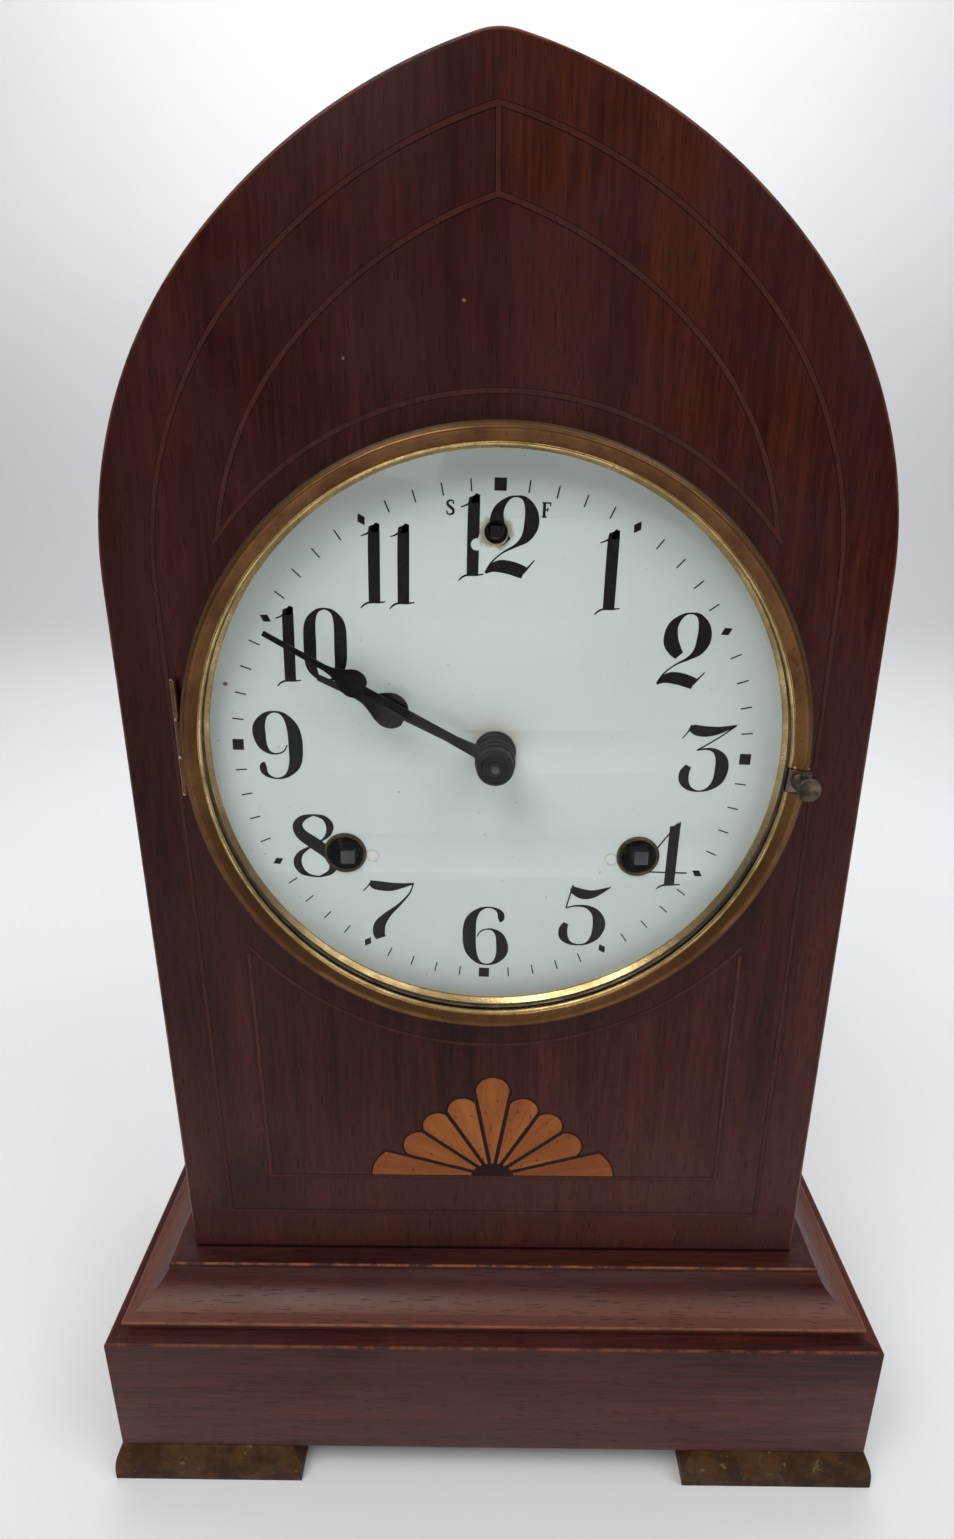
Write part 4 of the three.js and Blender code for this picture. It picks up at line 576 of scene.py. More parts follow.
def boxPiece(name, low, high, edge):
    bpy.ops.mesh.primitive_cube_add(size=1, location=(0, 0, 0))
    box = bpy.context.object
    box.name = name
    middle = [(a + b) / 2 for a, b in zip(low, high)]
    size = Matrix.Diagonal([b - a for a, b in zip(low, high)])
    box.data.transform(Matrix.Translation(middle) @ size.to_4x4())
    modify(box, "BEVEL", width=edge, segments=2)
    return box


def joined(name, *pieces):
    pick(pieces[0])
    for piece in pieces:
        piece.select_set(True)
    bpy.ops.object.join()
    whole = bpy.context.object
    whole.name = name
    return whole


def cutOut(piece, cutter):
    modify(piece, "BOOLEAN", operation="DIFFERENCE", object=cutter, solver="EXACT")
    bpy.data.objects.remove(cutter)


def drill(piece, centre, radius, front, back, steps):
    profile = [(0, front), (radius, front), (radius, back), (0, back)]
    cutOut(piece, turnedPiece("drill", profile, steps, centre))


def wornEdge(piece, amount):
    wear = piece.data.attributes.new("wear", "FLOAT", "POINT")
    for vertex, value in zip(piece.data.vertices, wear.data):
        value.value = amount(vertex.co)


# Moves a finished piece from the drawing to the frame
def place(piece, body, slot, finish, *stands, smooth=35):
    if finish:
        piece.data.materials.append(finish)
    pick(piece)
    if smooth:
        bpy.ops.object.shade_smooth_by_angle(angle=math.radians(smooth))
    piece.data.transform(toFrame)
    piece.data.update()
    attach(piece, body)
    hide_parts(*stands)


# Case: a panel and two bent rims, of one pointed outline
lancet = {"half": span("front_panel", "x")[1], "spring": dialZ + 39.7, "haunch": 96.4,
          "turn": math.radians(42.9), "crown": 126.2, "steps": 30, "tip": 15.0, "tipSteps": 6}
shelfTop = span("front_panel", "z")[0]
panelBack = span("front_panel", "y")[1]
bodyBack = span("side_rim_left", "y")[1]


# The right side of the outline from the shelf to the point, which is rounded unless it is to be sharp
def lancetSide(inset, sharp=False):
    turn, tip, steps = lancet["turn"], lancet["tip"], lancet["steps"]
    haunch = (lancet["half"] - lancet["haunch"], lancet["spring"])
    shift = lancet["haunch"] - lancet["crown"]
    crown = (haunch[0] + shift * math.cos(turn), haunch[1] + shift * math.sin(turn))
    reach = lancet["crown"] - (inset if sharp else tip)
    end = math.acos(-crown[0] / reach)
    side = arc(haunch, lancet["haunch"] - inset, 0, turn, steps)
    side += arc(crown, lancet["crown"] - inset, turn, end, steps)[1:]
    if not sharp:
        point = (crown[0] + reach * math.cos(end), crown[1] + reach * math.sin(end))
        side += arc(point, tip - inset, end, math.pi / 2, lancet["tipSteps"])[1:]
    return [(lancet["half"] - inset, shelfTop), *side]


def lancetLoop(inset, sharp=False):
    side = lancetSide(inset, sharp)
    return side + [(-x, z) for x, z in reversed(side[:-1])]


# How far along the bent board, how deep and how far in each point lies
def bendGrain(rim):
    line = [Vector(point) for point in lancetSide(0)]
    grain = rim.data.attributes.new("grain", "FLOAT_VECTOR", "POINT")
    for vertex, value in zip(rim.data.vertices, grain.data):
        spot, run, best = Vector((abs(vertex.co.x), vertex.co.z)), 0.0, (math.inf, 0.0)
        for a, b in zip(line, line[1:]):
            share = min(max(intersect_point_line(spot, a, b)[1], 0), 1)
            best = min(best, ((a.lerp(b, share) - spot).length, run + share * (b - a).length))
            run += (b - a).length
        value.vector = Vector((best[1], vertex.co.y, best[0])) * 0.001


case = {"edge": 0.9, "window": 60, "recess": (span("dial_plate", "x")[1] + 0.3, 1.8), "wear": 0.5,
        "wearOutside": 75, "rim": 9, "rimEdge": 0.12, "fit": 0.3}


def makeBody():
    edge, (wide, deep) = case["edge"], case["recess"]
    window = circle(case["window"], 128, dialCentre)
    panel = flatPiece("front_panel_wood", [lancetLoop(0), window], 0, panelBack, edge, 3)
    drill(panel, dialCentre, wide, -3, deep, 128)

    def rubbed(point):
        outside = math.hypot(point.x, point.z - dialZ) > case["wearOutside"]
        return case["wear"] if outside and 0.02 < point.y < edge * 0.8 else 0.0

    wornEdge(panel, rubbed)
    place(panel, "case", "mahogany", bodyWood, "front_panel", smooth=30)
    half = lancetSide(0) + list(reversed(lancetSide(case["rim"], True)))
    for name, side in (("right", 1), ("left", -1)):
        outline = [(side * x, z) for x, z in half]
        rim = flatPiece(f"side_rim_{name}_wood", [outline], panelBack, bodyBack, case["rimEdge"], 1)
        bendGrain(rim)
        place(rim, "case", "mahogany", rimWood, f"side_rim_{name}", smooth=30)


# Fan: petals of satinwood on dark grounds, from the lowest pair up to the middle one
fan = {"base": dialZ - 128, "edges": (16.6, 38.8, 59.8, 80.2, 99.8),
       "lengths": (34.6, 27.9, 27.7, 28.6, 34.2), "bulges": (0.5, 0.72, 0.72, 0.75, 0.92),
       "root": 4.4, "gap": 1.15, "rim": 0.5, "floor": 0.35, "lowLean": 8, "hub": (6.1, 4.6), "hubFront": -0.1,
       "ground": -0.01, "petal": -0.06, "step": 0.002, "back": 0.9}
satinLook = {"deep": (0.175, 0.041, 0.0080), "mid": (0.315, 0.090, 0.016), "light": (0.42, 0.136, 0.027),
             "fleck": (0.05, 0.014, 0.005), "run": 0.08, "figure": 260, "fibre": 1500, "flecks": 900,
             "shade": 60}


def petalFinish(number, angle):
    material, sheet = startFinish(f"petalWood{number}")
    spot = sheet.node("TexCoord", out="Object")
    turned = sheet.node("Mapping", {"Vector": spot, "Rotation": (0, math.radians(angle - 90), 0),
                                    "Location": (0.31 * number, 0, 0)})
    long = sheet.node("Mapping", {"Vector": turned, "Scale": (1, 1, satinLook["run"])})
    tone = noise(sheet, long, satinLook["figure"]) * 0.65 + noise(sheet, long, satinLook["fibre"], 2) * 0.35
    stops = [(0.3, satinLook["deep"]), (0.5, satinLook["mid"]), (0.7, satinLook["light"])]
    colour = sheet.node("ValToRGB", {"Fac": tone}, stops=stops)
    flecks = noise(sheet, objectSpot(sheet, (1, 1, 0.6)), satinLook["flecks"], 1, 0.4).between(0.66, 0.72)
    colour = (flecks * 0.75).blend(colour, satinLook["fleck"])
    shade = noise(sheet, objectSpot(sheet), satinLook["shade"]).between(0.35, 0.7) * 0.4
    redder = 0.45 * (1 - math.sin(math.radians(angle)))
    colour = (shade + redder).blend(colour, satinLook["deep"])
    endFinish(sheet, {"Base Color": colour, "Roughness": 0.34 + shade * 0.4, "Specular IOR Level": 0.2})
    return material


# A wedge between two rays from the hub, moved in by trim at its sides, with a round end
def petalLoop(low, high, length, bulge, trim):
    lean, slope = (low + high) / 2, math.tan((high - low) / 2)
    inset = trim / math.cos((high - low) / 2)
    shoulder = (length + bulge * inset) / (1 + bulge * slope)
    half, rise = shoulder * slope - inset, length - shoulder
    radius = (half * half + rise * rise) / (2 * rise)
    sweep = math.asin(min(half / radius, 1.0))
    root = max(fan["root"] * slope - inset, 0.12)
    loop = [(fan["root"], -root), *arc((length - radius, 0), radius, -sweep, sweep, 16), (fan["root"], root)]
    cos, sin = math.cos(lean), math.sin(lean)
    return [(u * cos - v * sin, u * sin + v * cos) for u, v in loop]


def makeFan():
    base, rim = fan["base"], fan["rim"]
    edges = [math.radians(edge) for edge in fan["edges"]]
    wedges = []
    for low, high, length, bulge in zip([-edges[0], *edges], edges, fan["lengths"], fan["bulges"]):
        sides = (1,) if high == edges[-1] else (1, -1)  # the middle petal has no twin
        wedges += [(low, high, length, bulge, side) for side in sides]
    for number, (low, high, length, bulge, side) in enumerate(wedges):
        lean = math.degrees(low + high) / 2 if low > 0 else fan["lowLean"]
        petalWood = petalFinish(number, lean if side > 0 else 180 - lean)
        ground = petalLoop(low, high, length + rim, bulge, -rim / 2)
        petal = petalLoop(low, high, length, bulge, fan["gap"] / 2)
        layers = (("ground", ground, 0.0, darkLine), ("petal", petal, fan["floor"], petalWood))
        for kind, loop, floor, finish in layers:
            outline = [(side * x, base + max(z, floor)) for x, z in loop]
            front = fan[kind] - fan["step"] * number
            piece = flatPiece(f"fan_{kind}_{number}", [outline], front, fan["back"], 0.01, 0)
            stands = ["fan_inlay"] if kind == "petal" and number == 0 else []
            place(piece, "case", "satinwood", finish, *stands)
    wide, tall = fan["hub"]
    hub = [(wide * x, base + tall * z) for x, z in arc((0, 0), 1, 0, math.pi, 24)]
    place(flatPiece("fan_hub", [hub], fan["hubFront"], fan["back"], 0.02, 1), "case", "satinwood", darkLine)


# Inlaid lines with a dark edge on both sides, and a dark strip of painted shade in the joint below the body
stringing = {"outer": 12.2, "inner": 26.5, "ring": 79.5, "lowRing": (83.0, -2.45, -0.69),
             "hornZ": dialZ + 48.6, "low": shelfTop + 14, "panelX": 64, "panelTop": dialZ - 55,
             "panelLow": fan["base"] - 0.4, "wide": 1.0, "front": -0.05, "edge": 0.18, "edgeFront": -0.01,
             "back": 0.4, "step": 0.003, "joint": 0.9, "jointInset": 0.8, "jointFront": -0.12}


def makeStringing():
    panelX, ring, back = stringing["panelX"], stringing["ring"], stringing["back"]
    outer = [(x, max(z, stringing["low"])) for x, z in lancetSide(stringing["outer"], True)]
    inner = [(x, z) for x, z in lancetSide(stringing["inner"], True) if z > stringing["hornZ"]]
    side = [(panelX, stringing["panelTop"]), (panelX, fan["base"])]
    horn = math.asin((stringing["hornZ"] - dialZ) / ring)
    lines = [[inner[-1], outer[-1]], arc(dialCentre, ring, horn, math.pi - horn, 48)]
    lines.append(arc(dialCentre, *stringing["lowRing"], 48))
    for z, x in ((stringing["panelLow"], panelX), (stringing["low"], outer[0][0])):
        lines.append([(-x, z), (x, z)])
    lines += [[(sign * x, z) for x, z in line] for line in (outer, inner, side) for sign in (1, -1)]
    for name, wide, front, finish in (
            ("stringing_edges", stringing["wide"] + 2 * stringing["edge"], stringing["edgeFront"], darkLine),
            ("stringing_lines", stringing["wide"], stringing["front"], lineWood)):
        strips = [[(x, z, wide) for x, z in line] for line in lines]
        place(stripPiece(name, strips, front, back, stringing["step"]), "case", "satinwood", finish)
    # Painted shade: a dark strip along the foot of the front, where the body meets the moulding
    half, tall = lancet["half"] - stringing["jointInset"], stringing["joint"]
    joint = [(x, shelfTop + tall / 2, tall) for x in (-half, half)]
    shadow = stripPiece("body_joint_shadow", [joint], stringing["jointFront"], back)
    place(shadow, "case", "mahogany", darkLine)


# Base: profiles are (overhang, height), with rounded and worn corners
def roundedProfile(corners, radius, steps=4):
    line = []
    for i, corner in enumerate(corners):
        if i in (0, len(corners) - 1):
            line.append((*corner, 0.0))
            continue
        before, here, after = (Vector(corners[i + k]) for k in (-1, 0, 1))
        cut = min(radius, (before - here).length * 0.45, (after - here).length * 0.45)
        start, end = here + (before - here).normalized() * cut, here + (after - here).normalized() * cut
        turn = (here - before).normalized().dot((after - here).normalized())
        for k in range(steps + 1):
            t = k / steps
            spot = (1 - t) ** 2 * start + 2 * t * (1 - t) * here + t * t * end
            line.append((spot.x, spot.y, 1.0 if turn < 0.6 and 0 < k < steps else 0.0))
    return line


def mouldingLoop(out, z, back):
    half = lancet["half"] + out
    return [(-half, -out, z), (half, -out, z), (half, back, z), (-half, back, z)]


def wornRounds(piece, profile, share):
    worn = {round(z, 3): amount for _, z, amount in profile}
    wornEdge(piece, lambda point: worn.get(round(point.z, 3), 0.0) * share(point.z))


# The boards' grain runs across at the front, and from front to back at the sides
def boardFinishes(piece, front, cheek):
    piece.data.materials.append(front)
    piece.data.materials.append(cheek)
    for face in piece.data.polygons:
        across, deep, up = (abs(part) for part in face.normal)
        sideways = across > 0.3 and across > deep
        mitred = across <= 0.3 and up > 0.5 and abs(face.center.x) - lancet["half"] > -face.center.y
        face.material_index = 1 if sideways or mitred else 0


moulding = {"neck": (15.4, 2.5), "cove": (16.9, 1.0, 8.5), "hollow": 0.6, "steps": 16, "shelf": 5.9,
            "lap": 3, "round": 0.6}


def makeMoulding():
    low, top = span("base_moulding", "z")
    out, neckHigh = moulding["neck"]
    coveOut, lipHigh, coveHigh = moulding["cove"]
    shelf, hollow, steps = moulding["shelf"], moulding["hollow"], moulding["steps"]
    coveLow = low + neckHigh + lipHigh
    corners = [(out, low), (out, low + neckHigh), (coveOut, low + neckHigh), (coveOut, coveLow)]
    for step in range(1, steps + 1):
        bend, chord = math.pi / 2 * step / steps, step / steps
        inward = hollow * math.sin(bend) + (1 - hollow) * chord
        upward = hollow * (1 - math.cos(bend)) + (1 - hollow) * chord
        corners.append((coveOut - (coveOut - shelf) * inward, coveLow + coveHigh * upward))
    profile = roundedProfile(corners + [(shelf, top), (shelf - moulding["lap"], top)], moulding["round"])
    board = loftPiece("base_moulding_wood", [mouldingLoop(over, z, bodyBack) for over, z, _ in profile])
    wornRounds(board, profile, lambda z: 1.0)
    boardFinishes(board, coveWood, coveCheek)
    place(board, "case", "mahogany", None, "base_moulding", smooth=30)


plinth = {"over": 20.7, "wall": 12, "round": 0.7, "wearAbove": 20, "wear": (0.3, 0.6)}


def makePlinth():
    low, top = span("plinth_front", "z")
    over, inside = plinth["over"], plinth["over"] - plinth["wall"]
    lowWear, highWear = plinth["wear"]
    profile = roundedProfile([(inside, low), (over, low), (over, top), (inside, top)], plinth["round"])
    loops = [mouldingLoop(out, z, bodyBack + min(0, out - over)) for out, z, _ in profile]
    boards = loftPiece("plinth_boards", loops, True)
    wornRounds(boards, profile, lambda z: highWear if z > low + plinth["wearAbove"] else lowWear)
    boardFinishes(boards, frontWood, cheekWood)
    stands = [f"plinth_{side}" for side in ("front", "left", "right", "back")]
    place(boards, "case", "mahogany", None, *stands, smooth=30)


foot = {"spread": 3.3, "fillet": 2.4, "wall": 2, "round": 0.35, "steps": 12}


def makeFeet():
    spread, fillet, wall = foot["spread"], foot["fillet"], foot["wall"]
    quarter = arc((0, 0), 1, 0, math.pi / 2, foot["steps"])
    for name in ("front_left", "front_right", "rear_left", "rear_right"):
        (x0, y0, _), (x1, y1, z1) = inClock(f"foot_{name}")
        sweep = [(spread * x, fillet + (z1 - fillet) * z) for x, z in quarter]
        corners = [(spread - wall, 0), (spread, 0), *sweep, (-wall, z1)]
        loops = []
        for out, z, _ in roundedProfile(corners, foot["round"]):
            left, right, front = x0 + spread - out, x1 - spread + out, y0 + spread - out
            loops.append([(left, front, z), (right, front, z), (right, y1, z), (left, y1, z)])
        bracket = loftPiece(f"foot_{name}_brass", loops)
        place(bracket, "case", "aged_brass", footBrass, f"foot_{name}", smooth=30)


# Dial
dial = {"winding": {"time": (36.0, dialZ - 27.35), "strike": (-37.4, dialZ - 26.65)}, "windingHole": 5.05,
        "regulatorHole": 2.6, "centreHole": 5.1, "edge": 0.12}
dialHoles = [(*spot, dial["windingHole"]) for spot in dial["winding"].values()]
dialHoles.append((*regulatorAt, dial["regulatorHole"]))


def makeDial():
    (_, front, _), (radius, back, _) = inClock("dial_plate")
    holes = [circle(size, 48, (x, z)) for x, z, size in [(*dialCentre, dial["centreHole"]), *dialHoles]]
    plate = flatPiece("dial_enamel", [circle(radius, 160, dialCentre), *holes], front, back, dial["edge"], 2)
    place(plate, "case", "enamel", enamel, "dial_plate", smooth=30)


# Strokes of the print as (across, up, width), in thousandths of a sign's height
strokes = {
    "0": [[(280, 985, 22), (170, 940, 60), (85, 780, 150), (75, 500, 170), (85, 220, 150), (170, 60, 60),
           (280, 15, 22), (390, 60, 60), (475, 220, 150), (485, 500, 170), (475, 780, 150), (390, 940, 60),
           (280, 985, 22)]],
    "1": [[(200, 0, 152), (200, 860, 152), (222, 930, 108), (248, 1000, 56)],
          [(160, 905, 30), (105, 865, 22), (30, 836, 12)],
          [(345, 12, 14), (250, -2, 24), (140, -4, 26), (70, -30, 24), (20, -80, 16)]],
    "2": [[(285, 420, 130), (215, 500, 180), (155, 620, 200), (166, 810, 140), (276, 948, 50), (390, 985, 22),
           (500, 950, 70), (580, 810, 160), (590, 640, 190), (530, 490, 130), (414, 390, 50), (241, 293, 22),
           (103, 172, 22), (28, 45, 30)],
          [(20, 30, 30), (100, 90, 100), (200, 118, 155), (330, 105, 170), (450, 70, 170), (520, 45, 160)],
          [(500, 60, 80), (560, 100, 30), (650, 205, 16)]],
    "3": [[(130, 940, 110), (200, 900, 150), (340, 885, 150), (520, 910, 100), (740, 985, 16)],
          [(130, 970, 40), (80, 870, 20), (10, 775, 16)],
          [(740, 985, 20), (500, 790, 20), (230, 610, 22)],
          [(230, 610, 20), (360, 635, 30), (480, 610, 70), (580, 500, 160), (605, 350, 190), (570, 180, 150),
           (460, 55, 60), (330, 12, 22), (200, 40, 60), (105, 140, 130), (90, 270, 140), (140, 380, 90)]],
    "4": [[(500, 0, 150), (500, 930, 150)], [(565, 930, 30), (565, 1000, 20)],
          [(550, 970, 50), (440, 870, 30)], [(530, 970, 22), (30, 200, 22)], [(0, 200, 22), (740, 200, 22)],
          [(660, 12, 20), (500, 0, 30), (400, -12, 28), (320, -70, 18)]],
    "5": [[(170, 960, 70), (220, 910, 130), (340, 860, 160), (500, 870, 120), (740, 985, 16)],
          [(185, 1000, 25), (140, 800, 22), (100, 620, 20)],
          [(100, 620, 20), (220, 660, 25), (400, 655, 50), (550, 550, 130), (610, 370, 190), (570, 180, 140),
           (460, 50, 50), (330, 12, 22), (190, 40, 60), (95, 140, 130), (80, 270, 130), (120, 370, 80)]],
    "6": [[(585, 745, 30), (600, 810, 100), (585, 890, 90), (520, 955, 45), (400, 985, 22), (260, 930, 70),
           (150, 760, 170), (130, 500, 200), (160, 250, 170), (270, 65, 70), (400, 15, 22), (530, 60, 70),
           (620, 200, 160), (630, 340, 180), (590, 500, 130), (500, 600, 50), (400, 620, 22), (300, 580, 20),
           (250, 490, 18)]],
    "7": [[(130, 940, 100), (200, 905, 145), (400, 885, 140), (580, 910, 80), (750, 950, 22)],
          [(140, 980, 40), (80, 890, 20), (5, 805, 16)],
          [(745, 955, 20), (690, 790, 25), (530, 590, 45), (360, 420, 100), (250, 260, 170), (230, 120, 180),
           (260, 30, 150)]],
    "8": [[(340, 985, 25), (190, 930, 90), (110, 820, 140), (160, 680, 170), (330, 550, 190), (510, 410, 180),
           (610, 260, 150), (570, 100, 90), (400, 12, 25)],
          [(340, 985, 25), (490, 945, 70), (570, 830, 110), (550, 700, 80), (450, 590, 30), (290, 490, 30),
           (140, 380, 80), (85, 240, 120), (140, 100, 100), (260, 30, 40), (400, 12, 25)]],
    "S": [[(520, 720, 100), (500, 900, 100), (300, 960, 120), (120, 860, 160), (130, 680, 180),
           (300, 530, 200), (500, 360, 180), (500, 140, 160), (300, 40, 120), (100, 100, 100),
           (60, 280, 100)]],
    "F": [[(180, 0, 200), (180, 1000, 200)], [(20, 960, 100), (620, 960, 100)],
          [(600, 1000, 90), (600, 740, 70)], [(200, 520, 100), (420, 520, 100)],
          [(420, 660, 80), (420, 380, 80)], [(20, 40, 100), (360, 40, 100)]],
}
usualWidth = 740
signWidths = {"0": 560, "1": 360, "2": 650, "7": 750, "8": 690, "S": 580, "F": 640}
strokes["9"] = [[(usualWidth - x, 1000 - z, wide) for x, z, wide in stroke] for stroke in strokes["6"]]
dialPrint = {"tall": 17.3, "radius": 50.2, "radii": {2: 51.0, 3: 51.6, 4: 50.6, 9: 51.3, 10: 49.4},
             "gap": 45, "gaps": {11: 20, 12: -15},
             "shifts": {2: (-0.9, 0.5), 8: (0.0, -1.0), 11: (0.3, 0.0), 12: (-0.5, 0.0)},
             "marks": 61.0, "tick": (2.7, 0.3), "block": 2.7, "diamond": (2.9, 1.9, 0.05),
             "letter": 3.2, "slowAt": (-10.9, 55.9), "fastAt": (10.2, 55.9), "turn": -0.0283, "shift": -0.8,
             "front": 0.965, "step": 0.0002, "cutStep": 0.002, "sunk": 0.02,
             "bare": ((-0.2, -0.4, 2.9), (-1.3, -1.7, 2.7), (-4.3, -2.7, 1.3))}


def word(text, tall, x, z, gap=0):
    lines, unit = [], tall / 1000
    widths = [signWidths.get(sign, usualWidth) for sign in text]
    left = x - unit * (sum(widths) + gap * (len(text) - 1)) / 2
    for sign, width in zip(text, widths):
        for stroke in strokes[sign]:
            points = smoothLine(stroke) if len(stroke) > 2 else stroke
            lines.append([(left + unit * px, z + unit * (pz - 500), unit * wide) for px, pz, wide in points])
        left += unit * (width + gap)
    return lines


# A mark on a ray from the dial's centre, through points at (distance from the mark's middle, width)
def rayMark(angle, points):
    spots = [(dialPrint["marks"] + run, wide) for run, wide in points]
    return [(reach * math.sin(angle), reach * math.cos(angle), wide) for reach, wide in spots]


def printLines():
    lines = []
    half, (long, wide, point) = dialPrint["block"] / 2, dialPrint["diamond"]
    block = [(-half, 2 * half), (half, 2 * half)]
    diamond = [(-long / 2, point), (0, wide), (long / 2, point)]
    for hour in range(1, 13):
        angle = math.radians(30 * hour)
        reach = dialPrint["radii"].get(hour, dialPrint["radius"])
        aside, above = dialPrint["shifts"].get(hour, (0, 0))
        x, z = reach * math.sin(angle) + aside, reach * math.cos(angle) + above
        lines += word(str(hour), dialPrint["tall"], x, z, dialPrint["gaps"].get(hour, dialPrint["gap"]))
        lines.append(rayMark(angle, diamond if hour % 3 else block))
    long, wide = dialPrint["tick"]
    tick = [(-long / 2, wide), (long / 2, wide)]
    lines += [rayMark(math.radians(6 * minute), tick) for minute in range(60) if minute % 5]
    lines += word("S", dialPrint["letter"], *dialPrint["slowAt"])
    lines += word("F", dialPrint["letter"], *dialPrint["fastAt"])
    cos, sin = math.cos(dialPrint["turn"]), math.sin(dialPrint["turn"])
    return [[(x * cos - z * sin + dialPrint["shift"], dialZ + x * sin + z * cos, wide) for x, z, wide in line]
            for line in lines]


def touches(line, spot):
    return any(math.hypot(x - spot[0], z - spot[1]) < spot[2] + wide for x, z, wide in line)


# The ink is missing over the holes and where rust has lifted it
def makePrint():
    front, back = dialPrint["front"], span("dial_plate", "y")[0] + dialPrint["sunk"]
    bare = dialHoles + [(x, z + regulatorAt[1], radius) for x, z, radius in dialPrint["bare"]]
    lines = printLines()
    cut = [line for line in lines if any(touches(line, spot) for spot in bare)]
    whole = [line for line in lines if line not in cut]
    marks = [stripPiece("dialMarks", whole, front, back, dialPrint["step"])]
    for number, line in enumerate(cut):
        stroke = stripPiece("dialStroke", [line], front - dialPrint["cutStep"] * number, back)
        for x, z, radius in bare:
            drill(stroke, (x, z), radius, -1, 3, 48)
        marks.append(stroke)
    place(joined("dial_print", *marks), "case", "blued_steel", ink, smooth=None)


sightRing = {"inner": 68.4, "ridge": (70.3, -1.3)}


def makeSightRing():
    (_, y0, _), (outer, y1, _) = inClock("sight_ring")
    inner, (ridge, top) = sightRing["inner"], sightRing["ridge"]
    profile = [(inner, y1), (inner, y1 - 0.35), (inner + 0.1, y1 - 0.5), (ridge - 0.15, top + 0.1),
               (ridge, top), (ridge + 0.15, top + 0.1), (ridge + 0.2, y0), (outer - 0.2, y0),
               (outer, y0 + 0.2), (outer, y1)]
    ring = turnedPiece("sight_ring_brass", profile, 160, dialCentre, True)
    place(ring, "case", "brass", brightBrass, "sight_ring")


grommet = {"bore": 4.3, "tube": 4.95, "flange": 5.35, "shadeCupDepth": 3.0, "arbor": 3.3, "regulator": (2.58, 1.9)}


# A black cup behind a hole, open for the arbor: painted shade standing in for the dark inside of the hole
def makeLining(name, slot, centre, radius, arbor, front, back, steps):
    floor, wall = back - 0.1, radius - 0.05
    profile = [(radius, front), (radius, back), (arbor, back), (arbor, floor), (wall, floor), (wall, front)]
    place(turnedPiece(name, profile, steps, centre, True), "case", slot, ink, smooth=50)


def makeGrommets():
    bore, tube, flange, deep = grommet["bore"], grommet["tube"], grommet["flange"], grommet["shadeCupDepth"]
    for name, centre in dial["winding"].items():
        y0, y1 = span(f"{name}_grommet", "y")
        profile = [(bore, y1), (bore, y0 + 0.5), (bore + 0.1, y0 + 0.2), (bore + 0.35, y0),
                   (bore + 0.5, y0 + 0.12), (flange - 0.35, y0 + 0.05), (flange - 0.15, y0 + 0.1),
                   (flange, y0 + 0.3), (flange, y0 + 0.5), (tube, y0 + 0.5), (tube, y1)]
        ring = turnedPiece(f"{name}_grommet_brass", profile, 64, centre, True)
        place(ring, "case", "brass", dullBrass, f"{name}_grommet", smooth=50)
        # Painted shade: a black cup behind each winding hole
        makeLining(f"{name}_grommet_shade_cup", "brass", centre, bore, grommet["arbor"], y0 + 0.6, y1 + deep, 64)
    # Painted shade: the same black cup behind the regulator hole
    y0, y1 = span("dial_plate", "y")
    radius, arbor = grommet["regulator"]
    makeLining("regulator_hole_shade_cup", "enamel", regulatorAt, radius, arbor, y0 + 0.1, y1 + deep, 48)


winding = {"half": 1.8, "front": -1.2, "sunk": 1, "edge": 0.3}


def makeWinding():
    half, front = winding["half"], winding["front"]
    for name in dial["winding"]:
        x, z = (sum(span(f"{name}_grommet", axis)) / 2 for axis in "xz")
        low = (x - half, front, z - half)
        high = (x + half, span(f"{name}_winding_arbor", "y")[0] + winding["sunk"], z + half)
        square = boxPiece(f"{name}_winding_square", low, high, winding["edge"])
        place(square, f"{name}_winding", "steel", darkSteel, smooth=20)


# Bezel: profile as (radius, depth), with a bright bead inside and a rubbed rim outside
bezel = {"profile": [(70.6, -0.5), (73.3, -0.5), (73.6, -0.8), (73.6, -4.7), (73.5, -5.15), (72.6, -6.45),
                     (72.25, -6.8), (71.9, -6.9), (71.5, -6.83), (70.9, -6.5), (70.2, -6.02), (69.7, -5.68),
                     (69.45, -5.5), (69.4, -5.36), (69.3, -5.36), (69.15, -5.5), (68.95, -5.52),
                     (68.7, -5.35), (68.6, -5.05), (68.6, -4.85), (68.75, -4.7), (70.6, -4.7)],
         "bead": 69.42, "rubbed": (72.5, -4.8), "glass": 1.5, "glassSteps": 24, "retainer": 1.2}
knob = {"angle": math.radians(-3.9), "plate": (68.8, 73.8, 2.7), "plateFront": -6.4, "plateBack": -4.7,
        "edge": 0.2, "notch": (67, 76, 3.0), "notchFront": -9.0, "solderUp": 0.9,
        "solder": {1: ((1.0, 0.35, 0.5), (2.6, 0.4, 0.42), (3.4, 0.38, 0.55), (4.2, 0.3, 0.4)),
                   -1: ((3.8, 0.35, 0.6), (4.5, 0.3, 0.42), (2.4, 0.4, 0.45))}}


def atKnob(piece):
    piece.data.transform(Matrix.Translation((0, 0, dialZ)) @ Matrix.Rotation(-knob["angle"], 4, "Y"))
    return piece


def knobBlock(name, size, front, edge):
    inner, outer, half = size
    loop = [(inner, -half), (outer, -half), (outer, half), (inner, half)]
    return atKnob(flatPiece(name, [loop], front, knob["plateBack"], edge, 3))


